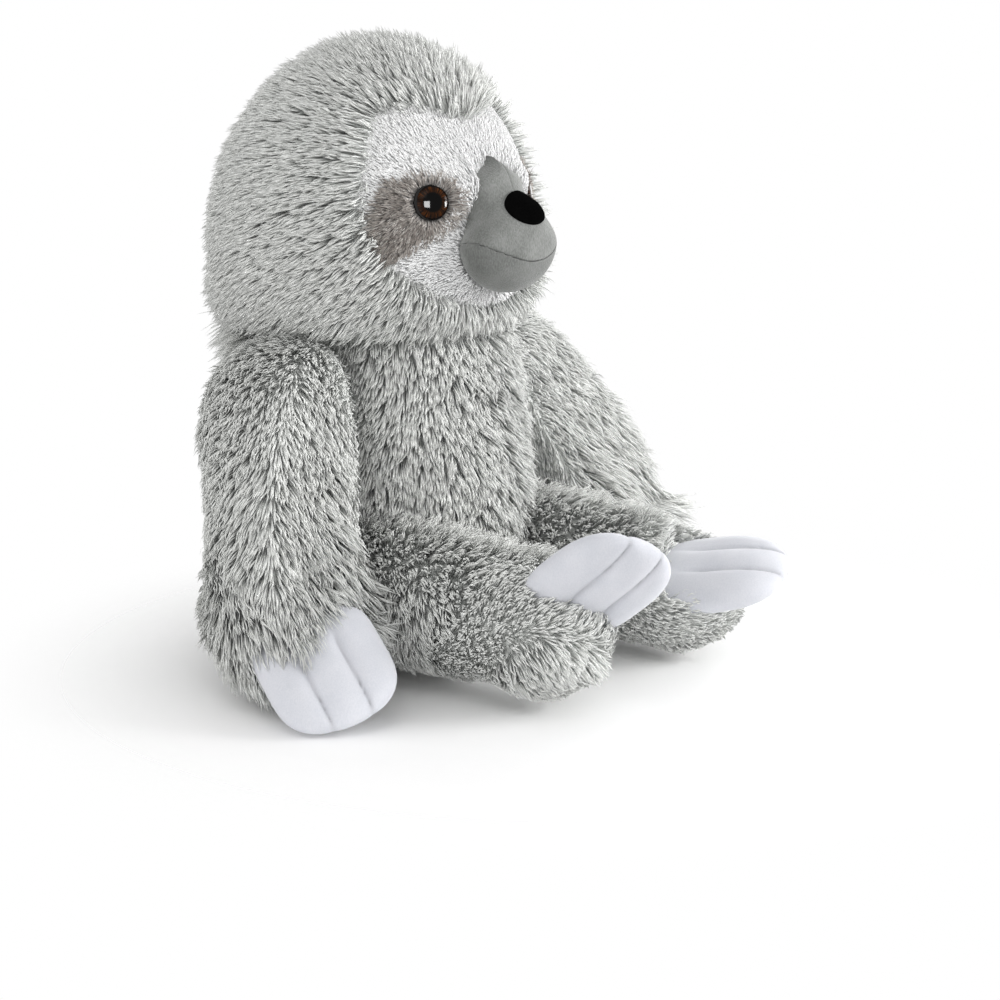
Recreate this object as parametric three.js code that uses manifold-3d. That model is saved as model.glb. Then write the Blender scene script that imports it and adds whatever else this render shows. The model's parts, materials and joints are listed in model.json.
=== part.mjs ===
// Plush sloth sitting on the floor, in millimetres. It faces -Y, +Z is up and its right side is at -X.
import * as THREE from "three";
import { mergeVertices } from "three/addons/utils/BufferGeometryUtils.js";
import Module from "manifold-3d";

const wasm = await Module();
wasm.setup();

const { degToRad } = THREE.MathUtils;

// Cloth thicknesses and clearances
const coat = 12;
const faceCloth = 4;
const velboa = 3;
const gap = 0.4;
const stuffingGap = 0.6;
const overrun = 5;
const beyond = 400;

// Torso, from the flat seat at Z 0 to the neck
const neckHeight = 178;
const torsoHalfWidth = 66;
const torsoHalfDepth = 81;
const torsoForward = 7;
const torsoHeightShares = [0, 0.12, 0.42, 0.76, 1];
const torsoWidthShares = [0.76, 0.95, 1, 1, 0.94];
const torsoDepthShares = [0.74, 0.94, 1, 1.04, 1.06];
const torsoForwardShares = [0.3, 0.7, 1, -0.1, -1.5];

// Head, measured from its widest level
const headLevel = 219;
const headBack = 3;
const headHalfWidth = 96;
const headHalfDepth = 91;
const headCrown = 110;
const headDrop = 60;
const headDropPower = 3;

// Face opening in the head's fur, seen from the front
const faceLevel = 243;
const faceHalfWidth = 76;
const faceRise = 54;
const faceFall = 55;
const faceStart = 28;
const faceAcrossShares = [0, 0.18, 0.43, 0.66, 0.87, 1, 0.96, 0.8, 0.55, 0.25, 0];
const faceUpShares = [0.84, 0.9, 1, 0.92, 0.55, 0.05, -0.3, -0.6, -0.84, -0.95, -1];

// Muzzle: a ball with a low bridge that runs up between the eyes
const snoutForward = 85.5;
const snoutLevel = 223.5;
const snoutHalfWidth = 32;
const snoutHalfDepth = 20.5;
const snoutHalfHeight = 25.5;
const bridgeForward = 74;
const bridgeLevel = 246;
const bridgeHalfWidth = 14.5;
const bridgeHalfDepth = 14;
const bridgeHalfHeight = 20;
const mouthForward = 105;
const mouthLevel = 215.5;
const mouthTilt = degToRad(16);

// Nose pad on the muzzle's upper front
const noseHalfWidth = 15.5;
const noseHalfHeight = 10.5;
const noseThickness = 3.2;
const noseReach = 12;
const noseRaise = degToRad(50);

// Safety eyes with a domed front, a shank and a locking washer
const eyeOut = 40.5;
const eyeLevel = 247.5;
const eyeRadius = 9;
const eyeHeight = 3.4;
const eyeRim = 0.6;
const eyeBaseHeight = 1.2;
const eyeSink = 2.8;
const shankRadius = 2.2;
const shankLength = 12;
const washerRadius = 7;
const washerHeight = 1.6;
const washerBore = 2.6;

// Arms, from the torso's flank down to the floor
const shoulderOut = 52;
const shoulderHeight = 146;
const shoulderForward = 5;
const shoulderFlare = 0.43;
const shoulderOpening = 14;
const shoulderLift = degToRad(70);
const shoulderFall = degToRad(-25);
const armSpread = 129;
const armForward = 50;
const armHalfWidth = 40;
const armHalfDepth = 51.5;
const armEndRound = 47;
const armOutShares = [0.45, 0.66, 0.83, 0.96, 1];
const armDropShares = [0, 0.1, 0.43, 0.77, 1];
const armForwardShares = [0, 0.1, 0.56, 0.93, 1];
const armWidthShares = [0.8, 0.92, 1, 1, 0.95];
const armDepthShares = [1, 1, 0.98, 1, 1];

// Legs, stretched out along the floor
const hipOut = 54;
const hipForward = 30;
const hipHeight = 41;
const legSpread = 58;
const legForward = 155;
const legRadius = 41;
const legLengthShares = [0, 0.4, 0.75, 1];
const legRadiusShares = [1, 1, 0.96, 0.98];
const hipRaise = degToRad(10);
const hipLower = degToRad(-90);
const crotchHalfWidth = 4;

// Hand mitts, sewn to the front of the arms' ends
const wristOut = 16;
const wristAhead = 23;
const wristDrop = 8;
const handYaw = degToRad(22);
const handPitch = degToRad(30);
const handRoll = degToRad(-22);
const handHalfWidth = 32;
const handLength = 57;
const handThickness = 27;
const wristSwing = degToRad(20);

// Foot mitts, sewn to the top front of the heels
const ankleIn = 3;
const ankleAhead = { right: 12, left: 2 };
const ankleRise = { right: 14, left: 3 };
const footYaw = { right: 0, left: degToRad(22) };
const footPitch = { right: degToRad(-40), left: degToRad(-13) };
const footRoll = { right: degToRad(36), left: degToRad(20) };
const footHalfWidth = 30;
const footLength = 63;
const footThickness = 28;
const ankleSwing = degToRad(20);

// Sewn channels of a mitt
const clawCount = 3;
const clawGrooveShare = 0.68;
const clawTipShare = 0.14;
const mittTaperShare = 0.82;
const mittOpeningShare = 0.45;

// Counts of facets
const torsoSides = 24;
const torsoRings = 9;
const headSides = 26;
const headInnerSides = 20;
const headRings = 7;
const armSides = 16;
const armRings = 8;
const legSides = 18;
const legRings = 5;
const roundRings = 4;
const mittRounds = 3;
const innerSides = 12;
const socketSides = 16;
const swingSteps = 4;
const coneSides = 36;
const faceSides = 32;
const snoutSides = 18;
const snoutRings = 8;
const eyeSides = 12;
const eyeRings = 3;
const clawSteps = 4;
const mittRings = 4;

// Looks of the materials
const furLook = { color: 0xc4c7c4, roughness: 0.95, metalness: 0 };
const faceLook = { color: 0xe9ebea, roughness: 0.95, metalness: 0 };
const muzzleLook = { color: 0x8d8f8d, roughness: 0.9, metalness: 0 };
const mittLook = { color: 0xe6e9ea, roughness: 0.9, metalness: 0 };
const noseLook = { color: 0x1b1b1c, roughness: 0.85, metalness: 0 };
const eyeLook = { color: 0x5a3a1c, roughness: 0.1, metalness: 0 };
const shankLook = { color: 0x121212, roughness: 0.4, metalness: 0 };
const washerLook = { color: 0xf2f2f0, roughness: 0.5, metalness: 0 };
const stuffingLook = { color: 0xfafafa, roughness: 1, metalness: 0 };

const RIGHT = { name: "right", sign: -1 };
const LEFT = { name: "left", sign: 1 };

// The volume of a triangle mesh, which is below zero where its faces point in
function signedVolume(points, index) {
  const corner = (i) => new THREE.Vector3().fromArray(points, 3 * index[i]);
  let volume = 0;
  for (let i = 0; i < index.length; i += 3) {
    volume += corner(i).dot(corner(i + 1).cross(corner(i + 2)));
  }
  return volume;
}

// Turn a closed geometry into a solid, without the triangles that close to a line
function solidOf(geometry) {
  const bare = geometry.clone();
  bare.deleteAttribute("normal");
  bare.deleteAttribute("uv");
  const merged = mergeVertices(bare);
  const index = merged.index.array;
  const points = merged.attributes.position.array;
  const flip = signedVolume(points, index) < 0;
  const triangles = [];
  for (let i = 0; i < index.length; i += 3) {
    const [a, b, c] = [index[i], index[i + 1], index[i + 2]];
    if (a !== b && b !== c && c !== a) {
      triangles.push(a, flip ? c : b, flip ? b : c);
    }
  }
  const vertProperties = new Float32Array(points);
  const triVerts = new Uint32Array(triangles);
  return new wasm.Manifold(new wasm.Mesh({ numProp: 3, vertProperties, triVerts }));
}

// Turn a solid into a named mesh
function meshOf(name, solid, look) {
  const { vertProperties, triVerts } = solid.getMesh();
  const geometry = new THREE.BufferGeometry();
  geometry.setAttribute("position", new THREE.BufferAttribute(new Float32Array(vertProperties), 3));
  geometry.setIndex(new THREE.BufferAttribute(new Uint32Array(triVerts), 1));
  geometry.computeVertexNormals();
  const mesh = new THREE.Mesh(geometry, new THREE.MeshStandardMaterial(look));
  mesh.name = name;
  return mesh;
}

function groupOf(...children) {
  const group = new THREE.Group();
  group.add(...children);
  return group;
}

// Close a row of loops of points into a body, with a fan at each end
function loft(loops, firstPole, lastPole) {
  const sides = loops[0].length;
  const points = [firstPole, ...loops.flat(), lastPole];
  const last = points.length - 1;
  const top = last - sides;
  const index = [];
  for (let side = 0; side < sides; side += 1) {
    const next = (side + 1) % sides;
    index.push(0, 1 + next, 1 + side);
    index.push(last, top + side, top + next);
    for (let low = 1; low < top; low += sides) {
      index.push(low + side, low + next, low + sides + next);
      index.push(low + side, low + sides + next, low + sides + side);
    }
  }
  const places = points.flatMap((point) => point.toArray());
  const geometry = new THREE.BufferGeometry();
  geometry.setAttribute("position", new THREE.Float32BufferAttribute(places, 3));
  geometry.setIndex(index);
  return solidOf(geometry);
}

// An elliptical loop around a centre, with its two half axes as vectors
function ellipse(centre, halfA, halfB, sides) {
  return Array.from({ length: sides }, (_, side) => {
    const turn = (2 * Math.PI * side) / sides;
    const point = centre.clone().addScaledVector(halfA, Math.cos(turn));
    return point.addScaledVector(halfB, Math.sin(turn));
  });
}

// A smooth row of values through the entries of a table
function smoothRow(table, count) {
  const knots = table.map((value) => new THREE.Vector3(value, 0, 0));
  const curve = new THREE.CatmullRomCurve3(knots);
  return Array.from({ length: count }, (_, i) => curve.getPoint(i / (count - 1)).x);
}

// An ellipsoid from its centre and half axes
function ellipsoid(centre, half, sides, rings) {
  const geometry = new THREE.SphereGeometry(1, sides, rings);
  geometry.rotateX(Math.PI / 2);
  geometry.scale(half.x, half.y, half.z);
  geometry.translate(centre.x, centre.y, centre.z);
  return solidOf(geometry);
}

// The half of space from a level on, as a big box
function halfSpace(axis, from, direction) {
  const geometry = new THREE.BoxGeometry(2 * beyond, 2 * beyond, 2 * beyond);
  const shift = new THREE.Vector3();
  shift[axis] = from + direction * beyond;
  geometry.translate(shift.x, shift.y, shift.z);
  return solidOf(geometry);
}

// A body turned about its own Z axis, from pairs of radius and height
function turned(profile) {
  const points = profile.map(([radius, height]) => new THREE.Vector2(radius, height));
  const geometry = new THREE.LatheGeometry(points, eyeSides);
  geometry.rotateX(Math.PI / 2);
  return solidOf(geometry);
}

// The torso's outer form, drawn in by an inset and reaching above the neck by an extra height
function torsoForm(inset, extra, sides) {
  const heights = smoothRow(torsoHeightShares, torsoRings);
  const widths = smoothRow(torsoWidthShares, torsoRings);
  const depths = smoothRow(torsoDepthShares, torsoRings);
  const forwards = smoothRow(torsoForwardShares, torsoRings);
  const loops = heights.map((share, i) => {
    const centre = new THREE.Vector3(0, -torsoForward * forwards[i], inset + share * (neckHeight - inset));
    const halfWidth = new THREE.Vector3(torsoHalfWidth * widths[i] - inset, 0, 0);
    const halfDepth = new THREE.Vector3(0, torsoHalfDepth * depths[i] - inset, 0);
    return ellipse(centre, halfWidth, halfDepth, sides);
  });
  if (extra > 0) {
    loops.push(loops.at(-1).map((point) => point.clone().setZ(neckHeight + extra)));
  }
  return loft(loops, new THREE.Vector3(0, 0, inset), new THREE.Vector3(0, 0, neckHeight + extra));
}

// The head's outer form, drawn in by an inset and reaching below the neck by an extra depth
function headForm(inset, extra, sides) {
  const level = neckHeight + gap;
  const width = headHalfWidth - inset;
  const crown = headCrown - inset;
  const drop = headDrop - inset;
  const lowest = Math.min((headLevel - level) / drop, 1);
  const profile = [[0, level - extra]];
  for (let ring = 0; ring < headRings; ring += 2) {
    const share = lowest * (1 - ring / headRings);
    const radius = width * (1 - share ** headDropPower) ** (1 / headDropPower);
    if (ring === 0 && extra > 0) {
      profile.push([radius, level - extra]);
    }
    profile.push([radius, headLevel - share * drop]);
  }
  for (let ring = 0; ring < headRings; ring += 1) {
    const turn = (Math.PI / 2) * (ring / headRings);
    profile.push([width * Math.cos(turn), headLevel + crown * Math.sin(turn)]);
  }
  profile.push([0, headLevel + crown]);
  const points = profile.map(([radius, height]) => new THREE.Vector2(radius, height));
  const geometry = new THREE.LatheGeometry(points, sides);
  geometry.rotateX(Math.PI / 2);
  geometry.scale(1, (headHalfDepth - inset) / width, 1);
  geometry.translate(0, headBack, 0);
  return solidOf(geometry);
}

// The face opening as a prism through the front of the head, drawn in by an inset
function facePrism(inset) {
  const half = faceAcrossShares.map((share, i) => {
    const reach = faceUpShares[i] > 0 ? faceRise : faceFall;
    return new THREE.Vector3(share * faceHalfWidth, faceLevel + faceUpShares[i] * reach, 0);
  });
  const other = half.slice(1, -1).map((point) => new THREE.Vector3(-point.x, point.y, 0));
  const curve = new THREE.CatmullRomCurve3([...half, ...other.reverse()], true);
  const outline = Array.from({ length: faceSides }, (_, i) => {
    const point = curve.getPoint(i / faceSides);
    const along = curve.getTangent(i / faceSides);
    return new THREE.Vector2(point.x + along.y * inset, point.y - along.x * inset);
  });
  const depth = headHalfDepth + overrun - faceStart;
  const geometry = new THREE.ExtrudeGeometry(new THREE.Shape(outline), { depth, bevelEnabled: false });
  geometry.rotateX(Math.PI / 2);
  geometry.translate(0, -faceStart, 0);
  return solidOf(geometry);
}

// The muzzle's ball, grown or, below zero, drawn in
function snoutBall(growth) {
  const centre = new THREE.Vector3(0, -snoutForward, snoutLevel);
  const half = new THREE.Vector3(snoutHalfWidth, snoutHalfDepth, snoutHalfHeight);
  return ellipsoid(centre, half.addScalar(growth), snoutSides, snoutRings);
}

// The muzzle's ball with its bridge
function snoutForm(growth) {
  const centre = new THREE.Vector3(0, -bridgeForward, bridgeLevel);
  const half = new THREE.Vector3(bridgeHalfWidth, bridgeHalfDepth, bridgeHalfHeight);
  const bridge = ellipsoid(centre, half.addScalar(growth), snoutSides, snoutRings);
  return snoutBall(growth).add(bridge);
}

// The space above the mouth seam, moved up by a shift
function aboveMouth(shift) {
  const geometry = new THREE.BoxGeometry(2 * beyond, 2 * beyond, 2 * beyond);
  geometry.translate(0, 0, beyond + shift);
  geometry.rotateX(mouthTilt);
  geometry.translate(0, -mouthForward, mouthLevel);
  return solidOf(geometry);
}

// The nose pad follows the muzzle's surface inside an oval
function nosePad() {
  const rise = Math.sin(noseRaise);
  const ahead = Math.cos(noseRaise);
  const oval = new THREE.CylinderGeometry(1, 1, 2, snoutSides);
  oval.scale(noseHalfWidth, noseReach, noseHalfHeight);
  oval.rotateX(-Math.atan2(rise / snoutHalfHeight, ahead / snoutHalfDepth));
  oval.translate(0, -snoutForward - snoutHalfDepth * ahead, snoutLevel + snoutHalfHeight * rise);
  return snoutForm(noseThickness).intersect(solidOf(oval)).subtract(snoutForm(gap));
}

// The place of an eye on the face cloth, with the way that it looks as its +Z
function eyeFrame(side) {
  const half = new THREE.Vector3(headHalfWidth, headHalfDepth, headCrown).addScalar(faceCloth - coat);
  const out = (side.sign * eyeOut) / half.x;
  const up = (eyeLevel - headLevel) / half.z;
  const ahead = Math.sqrt(Math.max(1 - out ** 2 - up ** 2, 0));
  const place = new THREE.Vector3(side.sign * eyeOut, headBack - half.y * ahead, eyeLevel);
  const looks = new THREE.Vector3(out / half.x, -ahead / half.y, up / half.z).normalize();
  const turn = new THREE.Quaternion().setFromUnitVectors(new THREE.Vector3(0, 0, 1), looks);
  return new THREE.Matrix4().compose(place, turn, new THREE.Vector3(1, 1, 1));
}

function eyeDome() {
  const base = eyeBaseHeight + 2 * gap - eyeSink;
  const profile = [[0, base]];
  for (let ring = 0; ring < eyeRings; ring += 1) {
    const turn = (Math.PI / 2) * (ring / eyeRings);
    profile.push([eyeRadius * Math.cos(turn), base + eyeHeight * Math.sin(turn)]);
  }
  profile.push([0, base + eyeHeight]);
  return turned(profile);
}

function eyeShank() {
  const foot = gap - shankLength;
  const rim = eyeRadius + eyeRim;
  const seat = gap - eyeSink;
  const plate = seat + eyeBaseHeight;
  return turned([[0, foot], [shankRadius, foot], [shankRadius, seat], [rim, seat], [rim, plate], [0, plate]]);
}

function eyeWasher() {
  const top = -faceCloth - 2 * gap;
  const low = top - washerHeight;
  return turned([
    [washerBore, low],
    [washerRadius, low],
    [washerRadius, top],
    [washerBore, top],
    [washerBore, low],
  ]);
}

// A round hole at the eye, between two levels
function eyeHole(radius, top, foot, side) {
  const geometry = new THREE.CylinderGeometry(radius, radius, top - foot, eyeSides);
  geometry.rotateX(Math.PI / 2);
  geometry.translate(0, 0, (top + foot) / 2);
  geometry.applyMatrix4(eyeFrame(side));
  return solidOf(geometry);
}

// A limb along a smooth centre line, with its ends rounded over the lengths that are given
function limbForm({ places, widths, depths, upright, rings, sides, startRound, endRound }) {
  const line = new THREE.CatmullRomCurve3(places);
  const rowWidths = smoothRow(widths, rings);
  const rowDepths = smoothRow(depths, rings);
  const section = (ring, shift, scale) => {
    const along = line.getTangent(ring / (rings - 1));
    const deep = upright.clone().addScaledVector(along, -upright.dot(along)).normalize();
    const across = new THREE.Vector3().crossVectors(along, deep);
    const centre = line.getPoint(ring / (rings - 1)).addScaledVector(along, shift);
    across.multiplyScalar(rowWidths[ring] * scale);
    deep.multiplyScalar(rowDepths[ring] * scale);
    return ellipse(centre, across, deep, sides);
  };
  const loops = rowWidths.map((_, ring) => section(ring, 0, 1));
  for (let ring = 1; ring < roundRings; ring += 1) {
    const turn = (Math.PI / 2) * (ring / roundRings);
    loops.push(section(rings - 1, endRound * Math.sin(turn), Math.cos(turn)));
    if (startRound > 0) {
      loops.unshift(section(0, -startRound * Math.sin(turn), Math.cos(turn)));
    }
  }
  const first = line.getPoint(0).addScaledVector(line.getTangent(0), -startRound);
  const last = line.getPoint(1).addScaledVector(line.getTangent(1), endRound);
  return loft(loops, first, last);
}

// An arm's form, drawn in by an inset; its root starts inside the torso's flank
function armForm(side, inset, sides) {
  const places = armOutShares.map((share, i) => {
    const ahead = shoulderForward + armForwardShares[i] * (armForward - shoulderForward);
    const height = shoulderHeight - armDropShares[i] * (shoulderHeight - armEndRound);
    return new THREE.Vector3(side.sign * share * armSpread, -ahead, height);
  });
  return limbForm({
    places,
    widths: armWidthShares.map((share) => share * armHalfWidth - inset),
    depths: armDepthShares.map((share) => share * armHalfDepth - inset),
    upright: new THREE.Vector3(0, -1, 0),
    rings: armRings,
    sides,
    startRound: 0,
    endRound: armEndRound - inset,
  });
}

// The shallow cone that an arm swings in, with its apex in the torso's flank
function shoulderCone(side, apexOut) {
  const geometry = new THREE.ConeGeometry(beyond / shoulderFlare, beyond, coneSides);
  geometry.rotateZ((side.sign * Math.PI) / 2);
  geometry.translate(side.sign * (apexOut + beyond / 2), -shoulderForward, shoulderHeight);
  return solidOf(geometry);
}

// The room of an arm: the cone, below what would meet the head as the arm swings
function armRoom(side, inset) {
  let room = shoulderCone(side, shoulderOut + inset);
  const height = neckHeight - 2 * gap - shoulderHeight - inset;
  for (let step = 0; step <= swingSteps; step += 1) {
    const swing = shoulderFall + (shoulderLift - shoulderFall) * (step / swingSteps);
    const geometry = new THREE.BoxGeometry(2 * beyond, 2 * beyond, 2 * beyond);
    geometry.translate(0, 0, beyond + height);
    geometry.rotateX(swing);
    geometry.translate(0, -shoulderForward, shoulderHeight);
    room = room.subtract(solidOf(geometry));
  }
  return room;
}

// The opening in an arm's root that it is stuffed through
function armOpening(side) {
  const length = 2 * (coat + overrun);
  const geometry = new THREE.CylinderGeometry(shoulderOpening, shoulderOpening, length, innerSides);
  geometry.rotateZ(Math.PI / 2);
  geometry.translate(side.sign * shoulderOut, -shoulderForward, shoulderHeight);
  return solidOf(geometry);
}

function hipPlace(side) {
  return new THREE.Vector3(side.sign * hipOut, -hipForward, hipHeight);
}

function heelPlace(side) {
  return new THREE.Vector3(side.sign * legSpread, -legForward, legRadius * legRadiusShares.at(-1));
}

// A leg's form, drawn in by an inset, with its root rounded over a length
function legForm(side, inset, startRound, sides) {
  const radii = legRadiusShares.map((share) => share * legRadius - inset);
  return limbForm({
    places: legLengthShares.map((share) => hipPlace(side).lerp(heelPlace(side), share)),
    widths: radii,
    depths: radii,
    upright: new THREE.Vector3(0, 0, 1),
    rings: legRings,
    sides,
    startRound,
    endRound: radii.at(-1),
  });
}

// The frame of a hip: local X is the hinge and local -Y runs down the leg
function hipFrame(side) {
  const ahead = heelPlace(side).sub(hipPlace(side)).negate().normalize();
  const hinge = new THREE.Vector3(ahead.y, -ahead.x, 0).normalize();
  const up = new THREE.Vector3().crossVectors(hinge, ahead);
  return new THREE.Matrix4().makeBasis(hinge, ahead, up).setPosition(hipPlace(side));
}

// The outline that a strap of a half thickness sweeps about its round root, from low to high
function sweepOutline(radius, reach, low, high) {
  const outline = [];
  const turns = Math.ceil(socketSides / 2);
  const add = (along, off, angle) => {
    const y = off * Math.sin(angle) - along * Math.cos(angle);
    const z = along * Math.sin(angle) + off * Math.cos(angle);
    outline.push(new THREE.Vector2(y, z));
  };
  add(reach, -radius, low);
  for (let turn = 0; turn <= turns; turn += 1) {
    add(reach, 0, low + (high - low) * (turn / turns));
  }
  add(reach, radius, high);
  for (let turn = 0; turn <= turns; turn += 1) {
    const angle = high + (Math.PI + low - high) * (turn / turns);
    outline.push(new THREE.Vector2(radius * Math.sin(angle), radius * Math.cos(angle)));
  }
  return outline;
}

// The same sweep as a slab across local X
function sweepSlab(outline, halfWidth, frame) {
  const shape = new THREE.Shape(outline);
  const geometry = new THREE.ExtrudeGeometry(shape, { depth: 2 * halfWidth, bevelEnabled: false });
  geometry.translate(0, 0, -halfWidth);
  const [x, y, z] = [new THREE.Vector3(1, 0, 0), new THREE.Vector3(0, 1, 0), new THREE.Vector3(0, 0, 1)];
  geometry.applyMatrix4(new THREE.Matrix4().makeBasis(y, z, x));
  geometry.applyMatrix4(frame);
  return solidOf(geometry);
}

// What a leg sweeps between its limits, grown by a wall
function hipSweep(side, wall) {
  const frame = hipFrame(side);
  const radius = (legRadius + wall + gap) / Math.cos(Math.PI / socketSides) ** 2;
  const reach = legForward;
  const ball = new THREE.SphereGeometry(radius, socketSides, socketSides / 2);
  ball.rotateZ(Math.PI / 2);
  ball.applyMatrix4(frame);
  const outline = sweepOutline(0, reach, hipLower, hipRaise);
  let sweep = solidOf(ball).add(sweepSlab(outline, radius, frame));
  for (const angle of [hipLower, hipRaise]) {
    const tube = new THREE.CylinderGeometry(radius, radius, reach, socketSides);
    tube.translate(0, -reach / 2, 0);
    tube.rotateX(-angle);
    tube.applyMatrix4(frame);
    sweep = sweep.add(solidOf(tube));
  }
  return sweep;
}

// Where a hand mitt is hinged, with local X across it and local -Y along it
function wristFrame(side) {
  const place = new THREE.Vector3(
    side.sign * (armSpread + wristOut),
    -armForward - wristAhead,
    armEndRound - wristDrop,
  );
  const turn = new THREE.Euler(handPitch, -side.sign * handRoll, side.sign * handYaw, "ZXY");
  return new THREE.Matrix4().makeRotationFromEuler(turn).setPosition(place);
}

// Where a foot mitt is hinged
function ankleFrame(side) {
  const shift = new THREE.Vector3(-side.sign * ankleIn, -ankleAhead[side.name], ankleRise[side.name]);
  const turn = new THREE.Euler(footPitch[side.name], -side.sign * footRoll[side.name], side.sign * footYaw[side.name], "ZXY");
  const place = heelPlace(side).add(shift);
  return new THREE.Matrix4().makeRotationFromEuler(turn).setPosition(place);
}

// The section of a mitt with its claw channels, as pairs of shares across and up
function mittSection() {
  const upper = [];
  for (let claw = 0; claw < clawCount; claw += 1) {
    const middle = (2 * claw + 1) / clawCount - 1;
    for (let step = claw === 0 ? 0 : 1; step <= clawSteps; step += 1) {
      const turn = Math.PI * (1 - step / clawSteps);
      const across = middle + Math.cos(turn) / clawCount;
      upper.push({ across, crown: Math.sin(turn), edge: Math.sqrt(Math.max(1 - across ** 4, 0)) });
    }
  }
  const lower = upper.slice(1, -1).reverse();
  return [...upper, ...lower.map((point) => ({ ...point, edge: -point.edge }))];
}

// A mitt in its own frame: a round root, three sewn channels and rounded claw ends
function mittForm({ halfWidth, length, thickness }) {
  const root = thickness / 2;
  const tip = root * mittTaperShare;
  const section = mittSection();
  const loop = (along, half, width) => {
    const share = THREE.MathUtils.clamp(along / length, 0, 1);
    const groove = 1 - (1 - clawGrooveShare) * THREE.MathUtils.smoothstep(share, 0, 1);
    return section.map(({ across, crown, edge }) => {
      const retreat = clawTipShare * length * share ** 4 * (1 - crown);
      const high = half * edge * (groove + (1 - groove) * crown);
      return new THREE.Vector3(across * width, retreat - along, high);
    });
  };
  const loops = [];
  for (let ring = 1; ring < mittRounds; ring += 1) {
    const turn = (Math.PI / 2) * (1 - ring / mittRounds);
    const width = halfWidth * (1 - (1 - mittTaperShare) * Math.sin(turn));
    loops.push(loop(-root * Math.sin(turn), root * Math.cos(turn), width));
  }
  for (let ring = 0; ring <= mittRings; ring += 1) {
    const share = ring / mittRings;
    loops.push(loop(share * (length - tip), root + (tip - root) * share ** 2, halfWidth));
  }
  for (let ring = 1; ring < mittRounds; ring += 1) {
    const turn = (Math.PI / 2) * (ring / mittRounds);
    const width = halfWidth * (1 - (1 - mittTaperShare) * Math.sin(turn));
    loops.push(loop(length - tip + tip * Math.sin(turn), tip * Math.cos(turn), width));
  }
  return loft(loops, new THREE.Vector3(0, root, 0), new THREE.Vector3(0, -length, 0));
}

// The hollow of a mitt, drawn in by an inset
function mittCore({ halfWidth, length, thickness }, inset) {
  const root = thickness / 2;
  const centre = new THREE.Vector3(0, (root - length) / 2, 0);
  const half = new THREE.Vector3(
    halfWidth - velboa,
    (length + root) / 2 - 2 * velboa,
    root * mittTaperShare * clawGrooveShare,
  );
  return ellipsoid(centre, half.addScalar(-inset), innerSides, roundRings + 1);
}

// The opening that a mitt is stuffed and sewn on through
function mittOpening({ halfWidth, thickness }) {
  const width = 2 * halfWidth * mittOpeningShare;
  const height = thickness * mittOpeningShare * mittTaperShare;
  const geometry = new THREE.BoxGeometry(width, thickness, height);
  geometry.translate(0, thickness / 2, 0);
  return solidOf(geometry);
}

// What a mitt sweeps between its limits, grown by a wall
function mittSweep({ halfWidth, length, thickness }, swing, wall, frame) {
  const radius = (thickness / 2 + wall + gap) / Math.cos(Math.PI / socketSides);
  const outline = sweepOutline(radius, length + wall, -swing, swing);
  return sweepSlab(outline, halfWidth + wall + gap, frame);
}

function mittPieces(name, size, frame) {
  const core = mittCore(size, 0).add(mittOpening(size));
  const group = groupOf(
    meshOf(`${name}_mitt`, mittForm(size).subtract(core), mittLook),
    meshOf(`${name}_stuffing`, mittCore(size, stuffingGap), stuffingLook),
  );
  group.applyMatrix4(frame);
  return group;
}

const handSize = { halfWidth: handHalfWidth, length: handLength, thickness: handThickness };
const footSize = { halfWidth: footHalfWidth, length: footLength, thickness: footThickness };

function armPieces(side) {
  const frame = wristFrame(side);
  const name = `arm_${side.name}`;
  const inside = (inset, sides) => armForm(side, inset, sides).intersect(armRoom(side, inset));
  const hollow = inside(coat, innerSides)
    .add(armOpening(side))
    .subtract(mittSweep(handSize, wristSwing, velboa, frame));
  const skin = inside(0, armSides).subtract(hollow).subtract(mittSweep(handSize, wristSwing, 0, frame));
  const filling = inside(coat + stuffingGap, innerSides)
    .subtract(mittSweep(handSize, wristSwing, velboa + stuffingGap, frame));
  return groupOf(
    meshOf(`${name}_skin`, skin, furLook),
    meshOf(`${name}_stuffing`, filling, stuffingLook),
    mittPieces(`hand_${side.name}`, handSize, frame),
  );
}

function legPieces(side) {
  const frame = ankleFrame(side);
  const name = `leg_${side.name}`;
  const room = (inset) =>
    halfSpace("x", side.sign * (crotchHalfWidth + inset), side.sign)
      .subtract(shoulderCone(side, shoulderOut - 2 * gap - inset));
  const hollow = legForm(side, coat, legRadius + overrun, innerSides)
    .intersect(room(coat))
    .subtract(mittSweep(footSize, ankleSwing, velboa, frame));
  const skin = legForm(side, 0, legRadius, legSides)
    .intersect(room(0))
    .subtract(hollow)
    .subtract(mittSweep(footSize, ankleSwing, 0, frame));
  const filling = legForm(side, coat + stuffingGap, legRadius - gap, innerSides)
    .intersect(room(coat + stuffingGap))
    .subtract(mittSweep(footSize, ankleSwing, velboa + stuffingGap, frame));
  return groupOf(
    meshOf(`${name}_skin`, skin, furLook),
    meshOf(`${name}_stuffing`, filling, stuffingLook),
    mittPieces(`foot_${side.name}`, footSize, frame),
  );
}

function torsoPieces() {
  let skin = torsoForm(0, 0, torsoSides);
  let hollow = torsoForm(coat, overrun, innerSides);
  let filling = torsoForm(coat + stuffingGap, 0, innerSides);
  for (const side of [RIGHT, LEFT]) {
    const apexOut = shoulderOut - 2 * gap;
    skin = skin.subtract(hipSweep(side, 0)).subtract(shoulderCone(side, apexOut));
    hollow = hollow.subtract(hipSweep(side, coat)).subtract(shoulderCone(side, apexOut - coat));
    filling = filling
      .subtract(hipSweep(side, coat + stuffingGap))
      .subtract(shoulderCone(side, apexOut - coat - stuffingGap));
  }
  return groupOf(
    meshOf("torso_skin", skin.subtract(hollow), furLook),
    meshOf("torso_stuffing", filling, stuffingLook),
  );
}

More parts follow.
